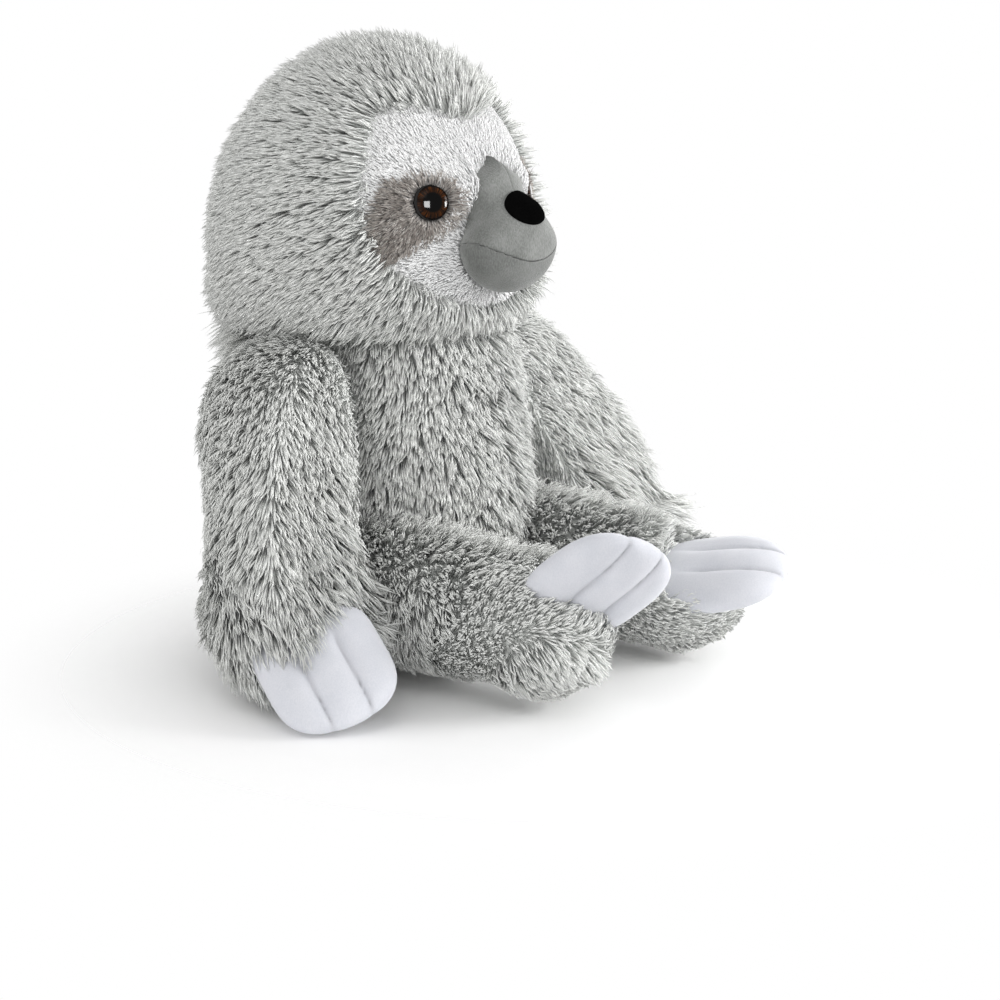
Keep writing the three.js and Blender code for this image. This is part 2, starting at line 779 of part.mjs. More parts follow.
function eyePieces(side) {
  const name = `eye_${side.name}`;
  const group = groupOf(
    meshOf(`${name}_dome`, eyeDome(), eyeLook),
    meshOf(`${name}_shank`, eyeShank(), shankLook),
    meshOf(`${name}_washer`, eyeWasher(), washerLook),
  );
  group.applyMatrix4(eyeFrame(side));
  return group;
}

function facePanel(side) {
  const cloth = headForm(coat - faceCloth, 0, headSides)
    .intersect(facePrism(gap))
    .intersect(halfSpace("x", (side.sign * gap) / 2, side.sign))
    .subtract(headForm(coat, overrun, headInnerSides))
    .subtract(snoutBall(-velboa))
    .subtract(eyeHole(eyeRadius + eyeRim + gap, overrun, -eyeSink, side))
    .subtract(eyeHole(washerBore, overrun, -beyond, side))
    .subtract(eyeHole(washerRadius + 2 * gap, -faceCloth - gap, -beyond, side));
  return meshOf(`face_panel_${side.name}`, cloth, faceLook);
}

function muzzlePieces() {
  const cloth = snoutForm(0)
    .subtract(snoutBall(-velboa))
    .subtract(headForm(coat - faceCloth - gap, overrun, headSides));
  const filling = snoutBall(-velboa - stuffingGap).subtract(headForm(coat, overrun, headInnerSides));
  return groupOf(
    meshOf("snout_upper", cloth.intersect(aboveMouth(gap / 2)), muzzleLook),
    meshOf("snout_chin", cloth.subtract(aboveMouth(-gap / 2)), muzzleLook),
    meshOf("snout_stuffing", filling, stuffingLook),
    meshOf("nose_pad", nosePad(), noseLook),
  );
}

function headPieces() {
  const skin = headForm(0, 0, headSides)
    .subtract(headForm(coat, overrun, headInnerSides))
    .subtract(facePrism(0));
  let filling = headForm(coat + stuffingGap, 0, headInnerSides);
  for (const side of [RIGHT, LEFT]) {
    filling = filling.subtract(eyeHole(washerRadius + 2 * gap, overrun, -shankLength - 2 * gap, side));
  }
  return groupOf(
    meshOf("head_skin", skin, furLook),
    meshOf("head_stuffing", filling, stuffingLook),
    facePanel(RIGHT),
    facePanel(LEFT),
    muzzlePieces(),
    eyePieces(RIGHT),
    eyePieces(LEFT),
  );
}

const sloth = groupOf(
  torsoPieces(),
  headPieces(),
  armPieces(RIGHT),
  armPieces(LEFT),
  legPieces(RIGHT),
  legPieces(LEFT),
);

export default sloth;
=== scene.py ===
"""Plush sloth on the floor: long grey pile on stuffed forms, a white face, a muzzle and channelled mitts."""

from __future__ import annotations

import json
import logging
import math
from dataclasses import dataclass, field
from enum import Enum
from typing import Any, Sequence

import bpy
import numpy as np
from mathutils import Matrix, Vector

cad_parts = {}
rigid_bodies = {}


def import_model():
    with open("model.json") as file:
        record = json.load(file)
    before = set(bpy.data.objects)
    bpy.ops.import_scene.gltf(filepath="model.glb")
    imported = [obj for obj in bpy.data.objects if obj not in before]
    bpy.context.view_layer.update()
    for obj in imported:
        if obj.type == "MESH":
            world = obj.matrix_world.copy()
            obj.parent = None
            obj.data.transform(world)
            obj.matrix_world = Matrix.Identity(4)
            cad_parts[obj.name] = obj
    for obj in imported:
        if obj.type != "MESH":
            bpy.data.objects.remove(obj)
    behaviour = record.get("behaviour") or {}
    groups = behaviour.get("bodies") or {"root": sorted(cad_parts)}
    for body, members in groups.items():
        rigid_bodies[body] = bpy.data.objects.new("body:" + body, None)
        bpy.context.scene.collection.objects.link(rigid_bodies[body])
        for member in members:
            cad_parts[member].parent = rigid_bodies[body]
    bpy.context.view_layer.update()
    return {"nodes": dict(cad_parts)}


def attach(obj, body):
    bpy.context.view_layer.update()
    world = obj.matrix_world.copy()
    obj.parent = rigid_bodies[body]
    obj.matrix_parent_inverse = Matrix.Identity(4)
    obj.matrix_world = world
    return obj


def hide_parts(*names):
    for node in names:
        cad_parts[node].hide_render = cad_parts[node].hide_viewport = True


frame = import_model()

LOG = logging.getLogger("sloth")
MM = 0.001
SEED = 11

# Height of the torso's neck plane, and the gap that the head keeps above it, in millimetres
NECK = 178.0
GAP = 0.4
# How deep the pile is that the CAD's solids include, in millimetres
CAD_COAT = 12.0
# A coat's middle tone, from 0 to 1
MIDDLE_TONE = 0.5

# Where a smooth step begins and where it ends
Span = tuple[float, float]
Point = tuple[float, float, float]


class Side(Enum):
    """The toy's own right and left, as the sign of X."""

    RIGHT = -1
    LEFT = 1

    @property
    def label(self) -> str:
        """The side's name in the names of pieces."""
        return self.name.lower()


# ---------------------------------------------------------------- colours and nodes


def linear(hex_colour: str) -> tuple[float, float, float, float]:
    """Turn an sRGB hex colour into linear values.

    Args:
        hex_colour: six hex digits.

    Returns:
        Red, green, blue and alpha.
    """
    channels = [int(hex_colour[i : i + 2], 16) / 255 for i in (0, 2, 4)]
    values = [c / 12.92 if c <= 0.04045 else ((c + 0.055) / 1.055) ** 2.4 for c in channels]
    return (*values, 1.0)


def add_node(
    tree: bpy.types.NodeTree,
    kind: str,
    settings: dict[str, Any] | None = None,
    inputs: dict[str | int, Any] | None = None,
) -> bpy.types.Node:
    """Add one node with its settings, and with its inputs as values or links.

    Args:
        tree: the node tree.
        kind: the node's type.
        settings: properties of the node.
        inputs: input sockets by name or number, each a value or another node's output.

    Returns:
        The new node.
    """
    node = tree.nodes.new(kind)
    for name, value in (settings or {}).items():
        setattr(node, name, value)
    for key, value in (inputs or {}).items():
        if isinstance(value, bpy.types.NodeSocket):
            tree.links.new(value, node.inputs[key])
        else:
            node.inputs[key].default_value = value
    return node


def new_material(name: str) -> tuple[bpy.types.Material, bpy.types.NodeTree, bpy.types.Node]:
    """Start a material with one Principled shader.

    Args:
        name: the material's name.

    Returns:
        The material, its tree and its shader.
    """
    material = bpy.data.materials.new(name)
    material.use_nodes = True
    tree = material.node_tree
    tree.nodes.clear()
    shader = add_node(tree, "ShaderNodeBsdfPrincipled")
    add_node(tree, "ShaderNodeOutputMaterial", inputs={"Surface": shader.outputs["BSDF"]})
    return material, tree, shader


def set_values(node: bpy.types.Node, values: dict[str, float]) -> None:
    """Set constants on a node's own sockets."""
    for name, value in values.items():
        node.inputs[name].default_value = value


def math_node(tree: bpy.types.NodeTree, operation: str, *values: Any) -> bpy.types.NodeSocket:
    """Add a sum of numbers, its operands values or other nodes' outputs."""
    node = add_node(tree, "ShaderNodeMath", {"operation": operation}, dict(enumerate(values)))
    return node.outputs["Value"]


def noise_node(tree: bpy.types.NodeTree, vector: Any, scale: float, detail: float) -> bpy.types.NodeSocket:
    """Add a noise texture."""
    inputs = {"Vector": vector, "Scale": scale, "Detail": detail}
    return add_node(tree, "ShaderNodeTexNoise", inputs=inputs).outputs["Fac"]


def ramp_node(
    tree: bpy.types.NodeTree, share: Any, stops: Sequence[tuple[float, str]]
) -> bpy.types.NodeSocket:
    """Add a colour ramp.

    Args:
        tree: the node tree.
        share: what it reads, from 0 to 1.
        stops: pairs of place and sRGB hex colour.

    Returns:
        Its colour.
    """
    node = add_node(tree, "ShaderNodeValToRGB", inputs={"Fac": share})
    ramp = node.color_ramp
    while len(ramp.elements) > 1:
        ramp.elements.remove(ramp.elements[-1])
    ramp.elements[0].position = stops[0][0]
    ramp.elements[0].color = linear(stops[0][1])
    for place, colour in stops[1:]:
        ramp.elements.new(place).color = linear(colour)
    return node.outputs["Color"]


def mix_node(
    tree: bpy.types.NodeTree, share: Any, low: Any, high: Any, blend: str = "MIX"
) -> bpy.types.NodeSocket:
    """Add a mix of two colours.

    Args:
        tree: the node tree.
        share: how much the second colour counts.
        low: the first colour.
        high: the second colour.
        blend: how they are mixed.

    Returns:
        The mixed colour.
    """
    settings = {"data_type": "RGBA", "blend_type": blend}
    return add_node(tree, "ShaderNodeMix", settings, {0: share, 6: low, 7: high}).outputs[2]


# ---------------------------------------------------------------- finishes


class Tone(Enum):
    """Where a finish reads its tone and its place along the hair from."""

    STRAND = "the pile's own UV map: tone across, root to tip along"
    CLOTH = "the cloth's tone attribute, at the hair's root"


@dataclass(frozen=True)
class PileFinish:
    """Polyester fur, knitted and sheared: dull, soft, light at the tips and darker at the roots."""

    name: str
    roots: tuple[tuple[float, str], ...]
    tips: tuple[tuple[float, str], ...]
    roughness: float = 0.75
    sheen: float = 0.15
    specular: float = 0.2
    sheen_roughness: float = 0.5
    tip_from: float = 0.85
    cloth_height: float = 0.12

    def material(self, tone: Tone) -> bpy.types.Material:
        """Build the material.

        Args:
            tone: whether it is for strands or for the cloth under them.

        Returns:
            The material.
        """
        material, tree, shader = new_material(f"{self.name}_{tone.name.lower()}")
        if tone is Tone.STRAND:
            place = add_node(tree, "ShaderNodeUVMap", {"uv_map": "OFBake"})
            split = add_node(tree, "ShaderNodeSeparateXYZ", inputs={0: place.outputs["UV"]})
            shade = split.outputs["X"]
            rise = add_node(
                tree,
                "ShaderNodeMapRange",
                {"interpolation_type": "SMOOTHSTEP"},
                {"Value": split.outputs["Y"], "From Min": 0.0, "From Max": self.tip_from},
            ).outputs["Result"]
        else:
            shade = add_node(tree, "ShaderNodeAttribute", {"attribute_name": "tone"}).outputs["Fac"]
            rise = self.cloth_height
        roots = ramp_node(tree, shade, self.roots)
        tips = ramp_node(tree, shade, self.tips)
        tree.links.new(mix_node(tree, rise, roots, tips), shader.inputs["Base Color"])
        values = {
            "Roughness": self.roughness,
            "Sheen Weight": self.sheen,
            "Sheen Roughness": self.sheen_roughness,
            "Specular IOR Level": self.specular,
        }
        set_values(shader, values)
        return material


@dataclass(frozen=True)
class VelboaFinish:
    """Short-napped knitted velboa, brushed one way: matt, with fine streaks where the nap parts, and painted
    shade along its seams.
    """

    name: str
    light: str
    dark: str
    nap_length: float
    bump: float
    nap_width: float = 0.7 * MM
    roughness: float = 0.85
    sheen: float = 0.3
    specular: float = 0.2
    # How much the seam attribute darkens the colour: painted shade along the sewn seams and grooves
    shade_share: float = 0.35
    cloud_scale: float = 60.0
    streak: Span = (0.36, 0.62)
    bump_height: float = 0.4 * MM

    def material(self) -> bpy.types.Material:
        """Build the material."""
        material, tree, shader = new_material(self.name)
        place = add_node(tree, "ShaderNodeTexCoord").outputs["Object"]
        scale = (1 / self.nap_width, 1 / self.nap_width, 1 / self.nap_length)
        inputs = {"Vector": place, "Scale": scale}
        stretched = add_node(tree, "ShaderNodeMapping", {"vector_type": "POINT"}, inputs)
        nap = noise_node(tree, stretched.outputs["Vector"], 1.0, 2.0)
        cloud = noise_node(tree, place, self.cloud_scale, 2.0)
        blend = math_node(tree, "MULTIPLY_ADD", cloud, 0.5, 0.0)
        total = math_node(tree, "MULTIPLY_ADD", nap, 0.5, blend)
        colour = ramp_node(tree, total, ((self.streak[0], self.dark), (self.streak[1], self.light)))
        # Painted shade: the colour is darkened along the seams, where the sewn grooves and the mouth line
        # would fall into shade
        seam = add_node(tree, "ShaderNodeAttribute", {"attribute_name": "seam"}).outputs["Fac"]
        shaded = math_node(tree, "MULTIPLY_ADD", seam, -self.shade_share, 1.0)
        seam_shaded_colour = mix_node(tree, 1.0, colour, shaded, "MULTIPLY")
        inputs = {"Height": nap, "Strength": self.bump, "Distance": self.bump_height}
        bump = add_node(tree, "ShaderNodeBump", inputs=inputs)
        tree.links.new(seam_shaded_colour, shader.inputs["Base Color"])
        tree.links.new(bump.outputs["Normal"], shader.inputs["Normal"])
        values = {
            "Roughness": self.roughness,
            "Sheen Weight": self.sheen,
            "Specular IOR Level": self.specular,
        }
        set_values(shader, values)
        return material


@dataclass(frozen=True)
class PlasticFinish:
    """Moulded plastic of the safety eyes' hidden parts: even colour, a faint moulding mottle."""

    name: str
    colour: str
    shade: str
    roughness: float
    specular: float = 0.5
    mottle_scale: float = 900.0

    def material(self) -> bpy.types.Material:
        """Build the material."""
        material, tree, shader = new_material(self.name)
        place = add_node(tree, "ShaderNodeTexCoord").outputs["Object"]
        mottle = noise_node(tree, place, self.mottle_scale, 3.0)
        colour = ramp_node(tree, mottle, ((0.35, self.shade), (0.65, self.colour)))
        tree.links.new(colour, shader.inputs["Base Color"])
        set_values(shader, {"Roughness": self.roughness, "Specular IOR Level": self.specular})
        return material


@dataclass(frozen=True)
class IrisFinish:
    """A domed acrylic eye, painted behind: black pupil and rim, amber-brown iris with fine radial streaks."""

    name: str = "acrylic_eye"
    pupil_share: float = 0.57
    streaks: float = 44.0
    iris: tuple[tuple[float, str], ...] = ((0.34, "0C0603"), (0.54, "2A1608"), (0.8, "744012"))
    black: str = "060505"
    rim: Span = (0.86, 0.95)
    roughness: float = 0.06
    refraction: float = 1.35
    specular: float = 0.14

    def material(self) -> bpy.types.Material:
        """Build the material."""
        material, tree, shader = new_material(self.name)
        place = add_node(tree, "ShaderNodeUVMap", {"uv_map": "disc"})
        split = add_node(tree, "ShaderNodeSeparateXYZ", inputs={0: place.outputs["UV"]}).outputs
        round_share = math_node(tree, "MULTIPLY", split["Y"], self.streaks)
        across = add_node(tree, "ShaderNodeCombineXYZ", inputs={0: round_share, 1: split["X"]})
        iris = ramp_node(tree, noise_node(tree, across.outputs["Vector"], 1.6, 3.0), self.iris)
        pupil_edge = ((self.pupil_share - 0.03, "000000"), (self.pupil_share + 0.05, "FFFFFF"))
        rim = ((self.rim[0], "FFFFFF"), (self.rim[1], "000000"))
        ring = ramp_node(tree, split["X"], (*pupil_edge, *rim))
        tree.links.new(mix_node(tree, ring, linear(self.black), iris), shader.inputs["Base Color"])
        values = {"Roughness": self.roughness, "IOR": self.refraction, "Specular IOR Level": self.specular}
        set_values(shader, values)
        return material


COAT = PileFinish(
    "coat_pile",
    roots=((0.0, "E0E2DF"), (1.0, "E8EAE7")),
    tips=((0.0, "E4E6E3"), (0.5, "ECEDEA"), (1.0, "F4F5F2")),
    cloth_height=0.0,
)
FACE = PileFinish(
    "face_pile",
    roots=((0.0, "FAFAFA"), (0.4, "F2F2F2"), (1.0, "6F6761")),
    tips=((0.0, "FEFEFE"), (0.4, "FBFBFB"), (0.7, "AFA9A3"), (1.0, "8C847D")),
    cloth_height=0.6,
)
PATCH = PileFinish(
    "eye_patch_pile",
    roots=((0.0, "675F59"), (1.0, "4F4843")),
    tips=((0.0, "E6E1DC"), (0.5, "B5ADA6"), (1.0, "7E756E")),
)
MUZZLE = VelboaFinish(
    "muzzle_velboa", light="8A8C89", dark="666865", nap_length=1.6 * MM, bump=0.9, sheen=0.4, shade_share=0.18
)
CHIN = VelboaFinish(
    "chin_velboa", light="7C7E7B", dark="5E605D", nap_length=1.6 * MM, bump=0.8, sheen=0.4, shade_share=0.18
)
MITT = VelboaFinish(
    "mitt_velboa", light="DDDEE4", dark="D3D5DC", nap_length=1.2 * MM, bump=0.1, shade_share=0.3
)
NOSE = VelboaFinish(
    "nose_velvet", light="0D0D0D", dark="060606", nap_length=0.9 * MM, bump=0.3, sheen=0.0, specular=0.0
)
SHANK = PlasticFinish("shank_nylon", colour="141210", shade="0C0A09", roughness=0.85, specular=0.1)
WASHER = PlasticFinish("washer_polythene", colour="F2F2F0", shade="E4E4E1", roughness=0.5)


# ---------------------------------------------------------------- meshes


def mesh_object(
    name: str, points: np.ndarray, faces: Sequence[Sequence[int]], smooth: bool = True
) -> bpy.types.Object:
    """Make an object from points in millimetres.

    Args:
        name: the object's name.
        points: rows of X, Y and Z in millimetres.
        faces: the corners of each face.
        smooth: whether its faces are shaded smooth.

    Returns:
        The object, linked to the scene, at the origin.
    """
    mesh = bpy.data.meshes.new(name)
    mesh.from_pydata((np.asarray(points) * MM).tolist(), [], [list(face) for face in faces])
    mesh.validate()
    mesh.shade_smooth() if smooth else mesh.shade_flat()
    made = bpy.data.objects.new(name, mesh)
    bpy.context.scene.collection.objects.link(made)
    return made


def signed_volume(points: np.ndarray, faces: Sequence[Sequence[int]]) -> float:
    """The volume that closed faces hold, below zero where they point in."""
    total = 0.0
    for face in faces:
        a = points[face[0]]
        for b, c in zip(face[1:], face[2:]):
            total += float(np.dot(a, np.cross(points[b], points[c])))
    return total


def loft(loops: np.ndarray, first: np.ndarray, last: np.ndarray) -> tuple[np.ndarray, list[list[int]]]:
    """Close a row of loops into a body with a fan at each end.

    Args:
        loops: an array of loops, each a row of points.
        first: the point that closes the first loop.
        last: the point that closes the last loop.

    Returns:
        The points, and the faces pointing out.
    """
    count, sides = loops.shape[0], loops.shape[1]
    points = np.vstack([loops.reshape(-1, 3), first, last])
    start, end = len(points) - 2, len(points) - 1
    faces: list[list[int]] = []
    for side in range(sides):
        after = (side + 1) % sides
        faces.append([start, after, side])
        faces.append([end, (count - 1) * sides + side, (count - 1) * sides + after])
        for ring in range(count - 1):
            low, high = ring * sides, (ring + 1) * sides
            faces.append([low + side, low + after, high + after, high + side])
    if signed_volume(points, faces) < 0:
        faces = [face[::-1] for face in faces]
    return points, faces


def smooth_row(table: Sequence[float] | np.ndarray, count: int, closed: bool = False) -> np.ndarray:
    """A smooth row through the entries of a table, numbers or points.

    Args:
        table: the entries.
        count: how many values the row has.
        closed: whether the last entry leads back to the first.

    Returns:
        The row.
    """
    knots = np.asarray(table, float)
    if closed:
        knots = np.concatenate([knots[-1:], knots, knots[:2]])
        spans = len(table)
        at = np.linspace(0, spans, count, endpoint=False)
    else:
        knots = np.concatenate([2 * knots[:1] - knots[1:2], knots, 2 * knots[-1:] - knots[-2:-1]])
        spans = len(table) - 1
        at = np.linspace(0, spans, count)
    cell = np.minimum(at.astype(int), spans - 1)
    t = at - cell
    t = t.reshape(-1, *([1] * (knots.ndim - 1)))
    a, b, c, d = (knots[cell + i] for i in range(4))
    return 0.5 * (2 * b + (c - a) * t + (2 * a - 5 * b + 4 * c - d) * t**2 + (3 * b - a - 3 * c + d) * t**3)


def unit(vectors: np.ndarray) -> np.ndarray:
    """Scale rows of vectors to length one."""
    return vectors / np.maximum(np.linalg.norm(vectors, axis=-1, keepdims=True), 1e-9)


def full_turn(count: int) -> np.ndarray:
    """Even steps round a circle, in radians."""
    return np.linspace(0, 2 * np.pi, count, endpoint=False)


def turned(profile: Sequence[Span], sides: int, width: float, depth: float, back: float = 0.0) -> np.ndarray:
    """Turn a profile into oval loops round the Z axis.

    Args:
        profile: pairs of share of the radius, and height.
        sides: how many points each loop has.
        width: the radius across.
        depth: the radius front to back.
        back: how far back the loops' middle lies.

    Returns:
        An array of loops.
    """
    turn = full_turn(sides)
    return np.array(
        [
            np.column_stack([width * r * np.cos(turn), back + depth * r * np.sin(turn), np.full(sides, z)])
            for r, z in profile
        ]
    )


def in_frame(matrix: np.ndarray, points: np.ndarray) -> np.ndarray:
    """Points as seen in the frame of a matrix."""
    return (points - matrix[:3, 3]) @ matrix[:3, :3]


def laid_flat(ways: np.ndarray, normals: np.ndarray) -> np.ndarray:
    """The part of each vector that lies along the cloth."""
    return ways - normals * np.sum(ways * normals, axis=1, keepdims=True)


def ring_depth(ring: np.ndarray, x: np.ndarray, z: np.ndarray) -> np.ndarray:
    """How far inside a closed ring places lie, below zero outside it.

    Args:
        ring: the ring's pairs of X and Z.
        x: the places across.
        z: the places' heights.

    Returns:
        The distance to the ring at each place.
    """
    inside = np.zeros(len(x), bool)
    for (ax, az), (bx, bz) in zip(ring, np.roll(ring, -1, axis=0)):
        crosses = (az > z) != (bz > z)
        at = ax + (z - az) * (bx - ax) / (bz - az if bz != az else 1e-9)
        inside ^= crosses & (x < at)
    gap = np.min(np.hypot(x[:, None] - ring[None, :, 0], z[:, None] - ring[None, :, 1]), axis=1)
    return np.where(inside, gap, -gap)


def read_points(thing: bpy.types.Object) -> tuple[np.ndarray, np.ndarray]:
    """The points of a mesh in millimetres, and their normals.

    Args:
        thing: a mesh object.

    Returns:
        Points and normals.
    """
    count = len(thing.data.vertices)
    points, normals = np.zeros(3 * count), np.zeros(3 * count)
    thing.data.vertices.foreach_get("co", points)
    thing.data.vertex_normals.foreach_get("vector", normals)
    return points.reshape(-1, 3) / MM, normals.reshape(-1, 3)


def store(thing: bpy.types.Object, name: str, values: np.ndarray) -> None:
    """Write an attribute on a mesh's points.

    Args:
        thing: a mesh object.
        name: the attribute's name.
        values: a number or a vector for each point.
    """
    kind = "FLOAT" if values.ndim == 1 else "FLOAT_VECTOR"
    made = thing.data.attributes.new(name, kind, "POINT")
    made.data.foreach_set("value" if values.ndim == 1 else "vector", values.astype(np.float32).ravel())


def rewrite(thing: bpy.types.Object, name: str, values: np.ndarray) -> None:
    """Write new numbers in an attribute of a mesh's points."""
    thing.data.attributes[name].data.foreach_set("value", values.astype(np.float32))


def dress(thing: bpy.types.Object, material: bpy.types.Material) -> None:
    """Give an object one material."""
    thing.data.materials.clear()
    thing.data.materials.append(material)


def smoothstep(values: np.ndarray, low: float, high: float) -> np.ndarray:
    """A smooth step from 0 at low to 1 at high."""
    share = np.clip((values - low) / (high - low), 0, 1)
    return share * share * (3 - 2 * share)


# ---------------------------------------------------------------- pile


@dataclass
class PileGrower:
    """Grows locks of pile on a skin with one Geometry Nodes tree, which it builds once."""

    shapes: int = 6
    tree: bpy.types.NodeTree | None = None
    strands: bpy.types.Collection | None = None
    sockets: dict[str, str] = field(default_factory=dict)

    floor: float = 0.6 * MM

    NUMBERS = (
        "Density", "Spacing", "Length", "Width", "Variation", "Lift", "Lock Size", "Gather", "Tousle",
        "Lock Step", "Wave Size", "Wave", "Tone Spread", "Floor",
    )

    def strand(self, number: int) -> bpy.types.Object:
        """Make one closed strand, a tapering three-sided spike of unit width and length.

        Args:
            number: which of the shapes it is.

        Returns:
            The strand's object.
        """
        chance = np.random.default_rng(SEED + number)
        bend, wave = chance.uniform(-0.5, 1.4), chance.uniform(-0.9, 0.9)
        rings = ((0.0, 0.4, 0.0, 0.0), (0.74, 0.5, wave, bend))
        tip = (0.1 * wave, -0.1 * bend, 1.0)
        points, mesh = [], bpy.data.meshes.new(f"strand_{number}")
        for along, half, shift_x, shift_y in rings:
            for corner in range(3):
                turn = math.pi * (0.5 + 2 * corner / 3)
                flat = 0.32 * half * math.sin(turn)
                points.append((shift_x + half * math.cos(turn), shift_y + flat, along))
        points.append(tip)
        faces = [(0, 2, 1)]
        for corner in range(3):
            after = (corner + 1) % 3
            faces.append((corner, after, 3 + after, 3 + corner))
            faces.append((3 + corner, 3 + after, 6))
        mesh.from_pydata(points, [], faces)
        layer = mesh.uv_layers.new(name="OFBake")
        for loop in mesh.loops:
            place = mesh.vertices[loop.vertex_index]
            layer.data[loop.index].uv = ((loop.vertex_index % 3) / 2 if place.co.z < 1 else 0.5, place.co.z)
        mesh.shade_smooth()
        return bpy.data.objects.new(f"strand_{number}", mesh)

    def build(self) -> None:
        """Build the strands and the tree."""
        self.strands = bpy.data.collections.new("strand_shapes")
        for number in range(self.shapes):
            self.strands.objects.link(self.strand(number))
        tree = bpy.data.node_groups.new("grow_pile", "GeometryNodeTree")
        tree.interface.new_socket(name="Skin", in_out="INPUT", socket_type="NodeSocketGeometry")
        kinds = dict.fromkeys(self.NUMBERS, "NodeSocketFloat")
        kinds |= {"Seed": "NodeSocketInt", "Strands": "NodeSocketCollection", "Material": "NodeSocketMaterial"}
        for name, kind in kinds.items():
            socket = tree.interface.new_socket(name=name, in_out="INPUT", socket_type=kind)
            self.sockets[name] = socket.identifier
            if name == "Floor":
                socket.default_value = self.floor
        tree.interface.new_socket(name="Pile", in_out="OUTPUT", socket_type="NodeSocketGeometry")
        self.tree = tree
        self.wire(tree)

    def wire(self, tree: bpy.types.NodeTree) -> None:
        """Add the tree's nodes.

        Args:
            tree: the empty tree, with its sockets made.
        """

        def vector(operation: str, *values: Any, scale: Any = None) -> bpy.types.NodeSocket:
            """A vector sum, its operands values or outputs."""
            inputs: dict[str | int, Any] = dict(enumerate(values))
            if scale is not None:
                inputs["Scale"] = scale
            node = add_node(tree, "ShaderNodeVectorMath", {"operation": operation}, inputs)
            return node.outputs["Value" if operation in ("DOT_PRODUCT", "LENGTH") else "Vector"]

        def number(operation: str, *values: Any) -> bpy.types.NodeSocket:
            """A sum of numbers, its operands values or outputs."""
            return math_node(tree, operation, *values)

        def named(name: str, kind: str) -> bpy.types.NodeSocket:
            """An attribute of the skin."""
            node = add_node(tree, "GeometryNodeInputNamedAttribute", {"data_type": kind}, {"Name": name})
            return node.outputs["Attribute"]

        def parts(value: bpy.types.NodeSocket) -> Any:
            """The parts of a vector."""
            return add_node(tree, "ShaderNodeSeparateXYZ", inputs={0: value}).outputs

        def joined(x: Any, y: Any, z: Any = 0.0) -> bpy.types.NodeSocket:
            """A vector from its parts."""
            return add_node(tree, "ShaderNodeCombineXYZ", inputs={0: x, 1: y, 2: z}).outputs["Vector"]

        given = add_node(tree, "NodeGroupInput").outputs
        seeded = add_node(
            tree,
            "GeometryNodeDistributePointsOnFaces",
            {"distribute_method": "POISSON"},
            {
                "Mesh": given["Skin"],
                "Distance Min": given["Spacing"],
                "Density Max": given["Density"],
                "Density Factor": named("cover", "FLOAT"),
                "Seed": given["Seed"],
            },
        )
        normal = seeded.outputs["Normal"]
        place = add_node(tree, "GeometryNodeInputPosition").outputs["Position"]
        cells = add_node(
            tree,
            "ShaderNodeTexVoronoi",
            {"voronoi_dimensions": "3D", "feature": "F1"},
            {"Vector": place, "Scale": number("DIVIDE", 1.0, given["Lock Size"])},
        )
        chance = vector("SUBTRACT", cells.outputs["Color"], (0.5, 0.5, 0.5))
        drift = add_node(
            tree,
            "ShaderNodeTexNoise",
            inputs={"Vector": place, "Scale": number("DIVIDE", 1.0, given["Wave Size"]), "Detail": 1.0},
        )
        sway = vector("SUBTRACT", drift.outputs["Color"], (0.5, 0.5, 0.5))
        lean = vector("ADD", vector("SCALE", normal, scale=given["Lift"]), named("comb", "FLOAT_VECTOR"))
        lean = vector("ADD", lean, vector("SCALE", chance, scale=given["Tousle"]))
        lean = vector("ADD", lean, vector("SCALE", sway, scale=given["Wave"]))
        lean = vector("NORMALIZE", lean)
        roll = add_node(
            tree,
            "FunctionNodeRandomValue",
            {"data_type": "FLOAT"},
            {2: -1.0, 3: 1.0, "Seed": given["Seed"]},
        ).outputs[1]
        grown = number("MULTIPLY", given["Length"], named("pile", "FLOAT"))
        grown = number("MULTIPLY", grown, number("MULTIPLY_ADD", roll, given["Variation"], 1.0))
        cell_share = parts(chance)
        step = number("MULTIPLY_ADD", cell_share["X"], given["Lock Step"], 1.0)
        grown = number("MULTIPLY", grown, step)
        pull = vector("SUBTRACT", cells.outputs["Position"], place)
        pull = vector("SUBTRACT", pull, vector("SCALE", normal, scale=vector("DOT_PRODUCT", pull, normal)))
        gathered = vector("SCALE", pull, scale=given["Gather"])
        reach = vector("ADD", vector("SCALE", lean, scale=grown), gathered)
        end = parts(vector("ADD", place, reach))
        above = joined(end["X"], end["Y"], number("MAXIMUM", end["Z"], given["Floor"]))
        reach = vector("SUBTRACT", above, place)
        turn = add_node(
            tree,
            "FunctionNodeAxesToRotation",
            {"primary_axis": "Z", "secondary_axis": "Y"},
            {0: reach, 1: normal},
        )
        size = joined(given["Width"], given["Width"], vector("LENGTH", reach))
        shapes = add_node(
            tree,
            "GeometryNodeCollectionInfo",
            inputs={"Collection": given["Strands"], "Separate Children": True, "Reset Children": True},
        )
        pick = add_node(
            tree,
            "FunctionNodeRandomValue",
            {"data_type": "INT"},
            {4: 0, 5: self.shapes - 1, "Seed": number("ADD", given["Seed"], 1.0)},
        ).outputs[2]
        planted = add_node(
            tree,
            "GeometryNodeInstanceOnPoints",
            inputs={
                "Points": seeded.outputs["Points"],
                "Instance": shapes.outputs["Instances"],
                "Pick Instance": True,
                "Instance Index": pick,
                "Rotation": turn.outputs["Rotation"],
                "Scale": size,
            },
        )
        shade = number("MULTIPLY_ADD", roll, given["Tone Spread"], named("tone", "FLOAT"))
        shade = number("ADD", shade, number("MULTIPLY", cell_share["Y"], given["Tone Spread"]))
        shade = add_node(tree, "ShaderNodeClamp", inputs={"Value": shade, "Min": 0.02, "Max": 0.96})
        toned = add_node(
            tree,
            "GeometryNodeStoreNamedAttribute",
            {"data_type": "FLOAT", "domain": "INSTANCE"},
            {"Geometry": planted.outputs["Instances"], "Name": "shade", "Value": shade.outputs["Result"]},
        )
        real = add_node(tree, "GeometryNodeRealizeInstances", inputs={"Geometry": toned.outputs["Geometry"]})
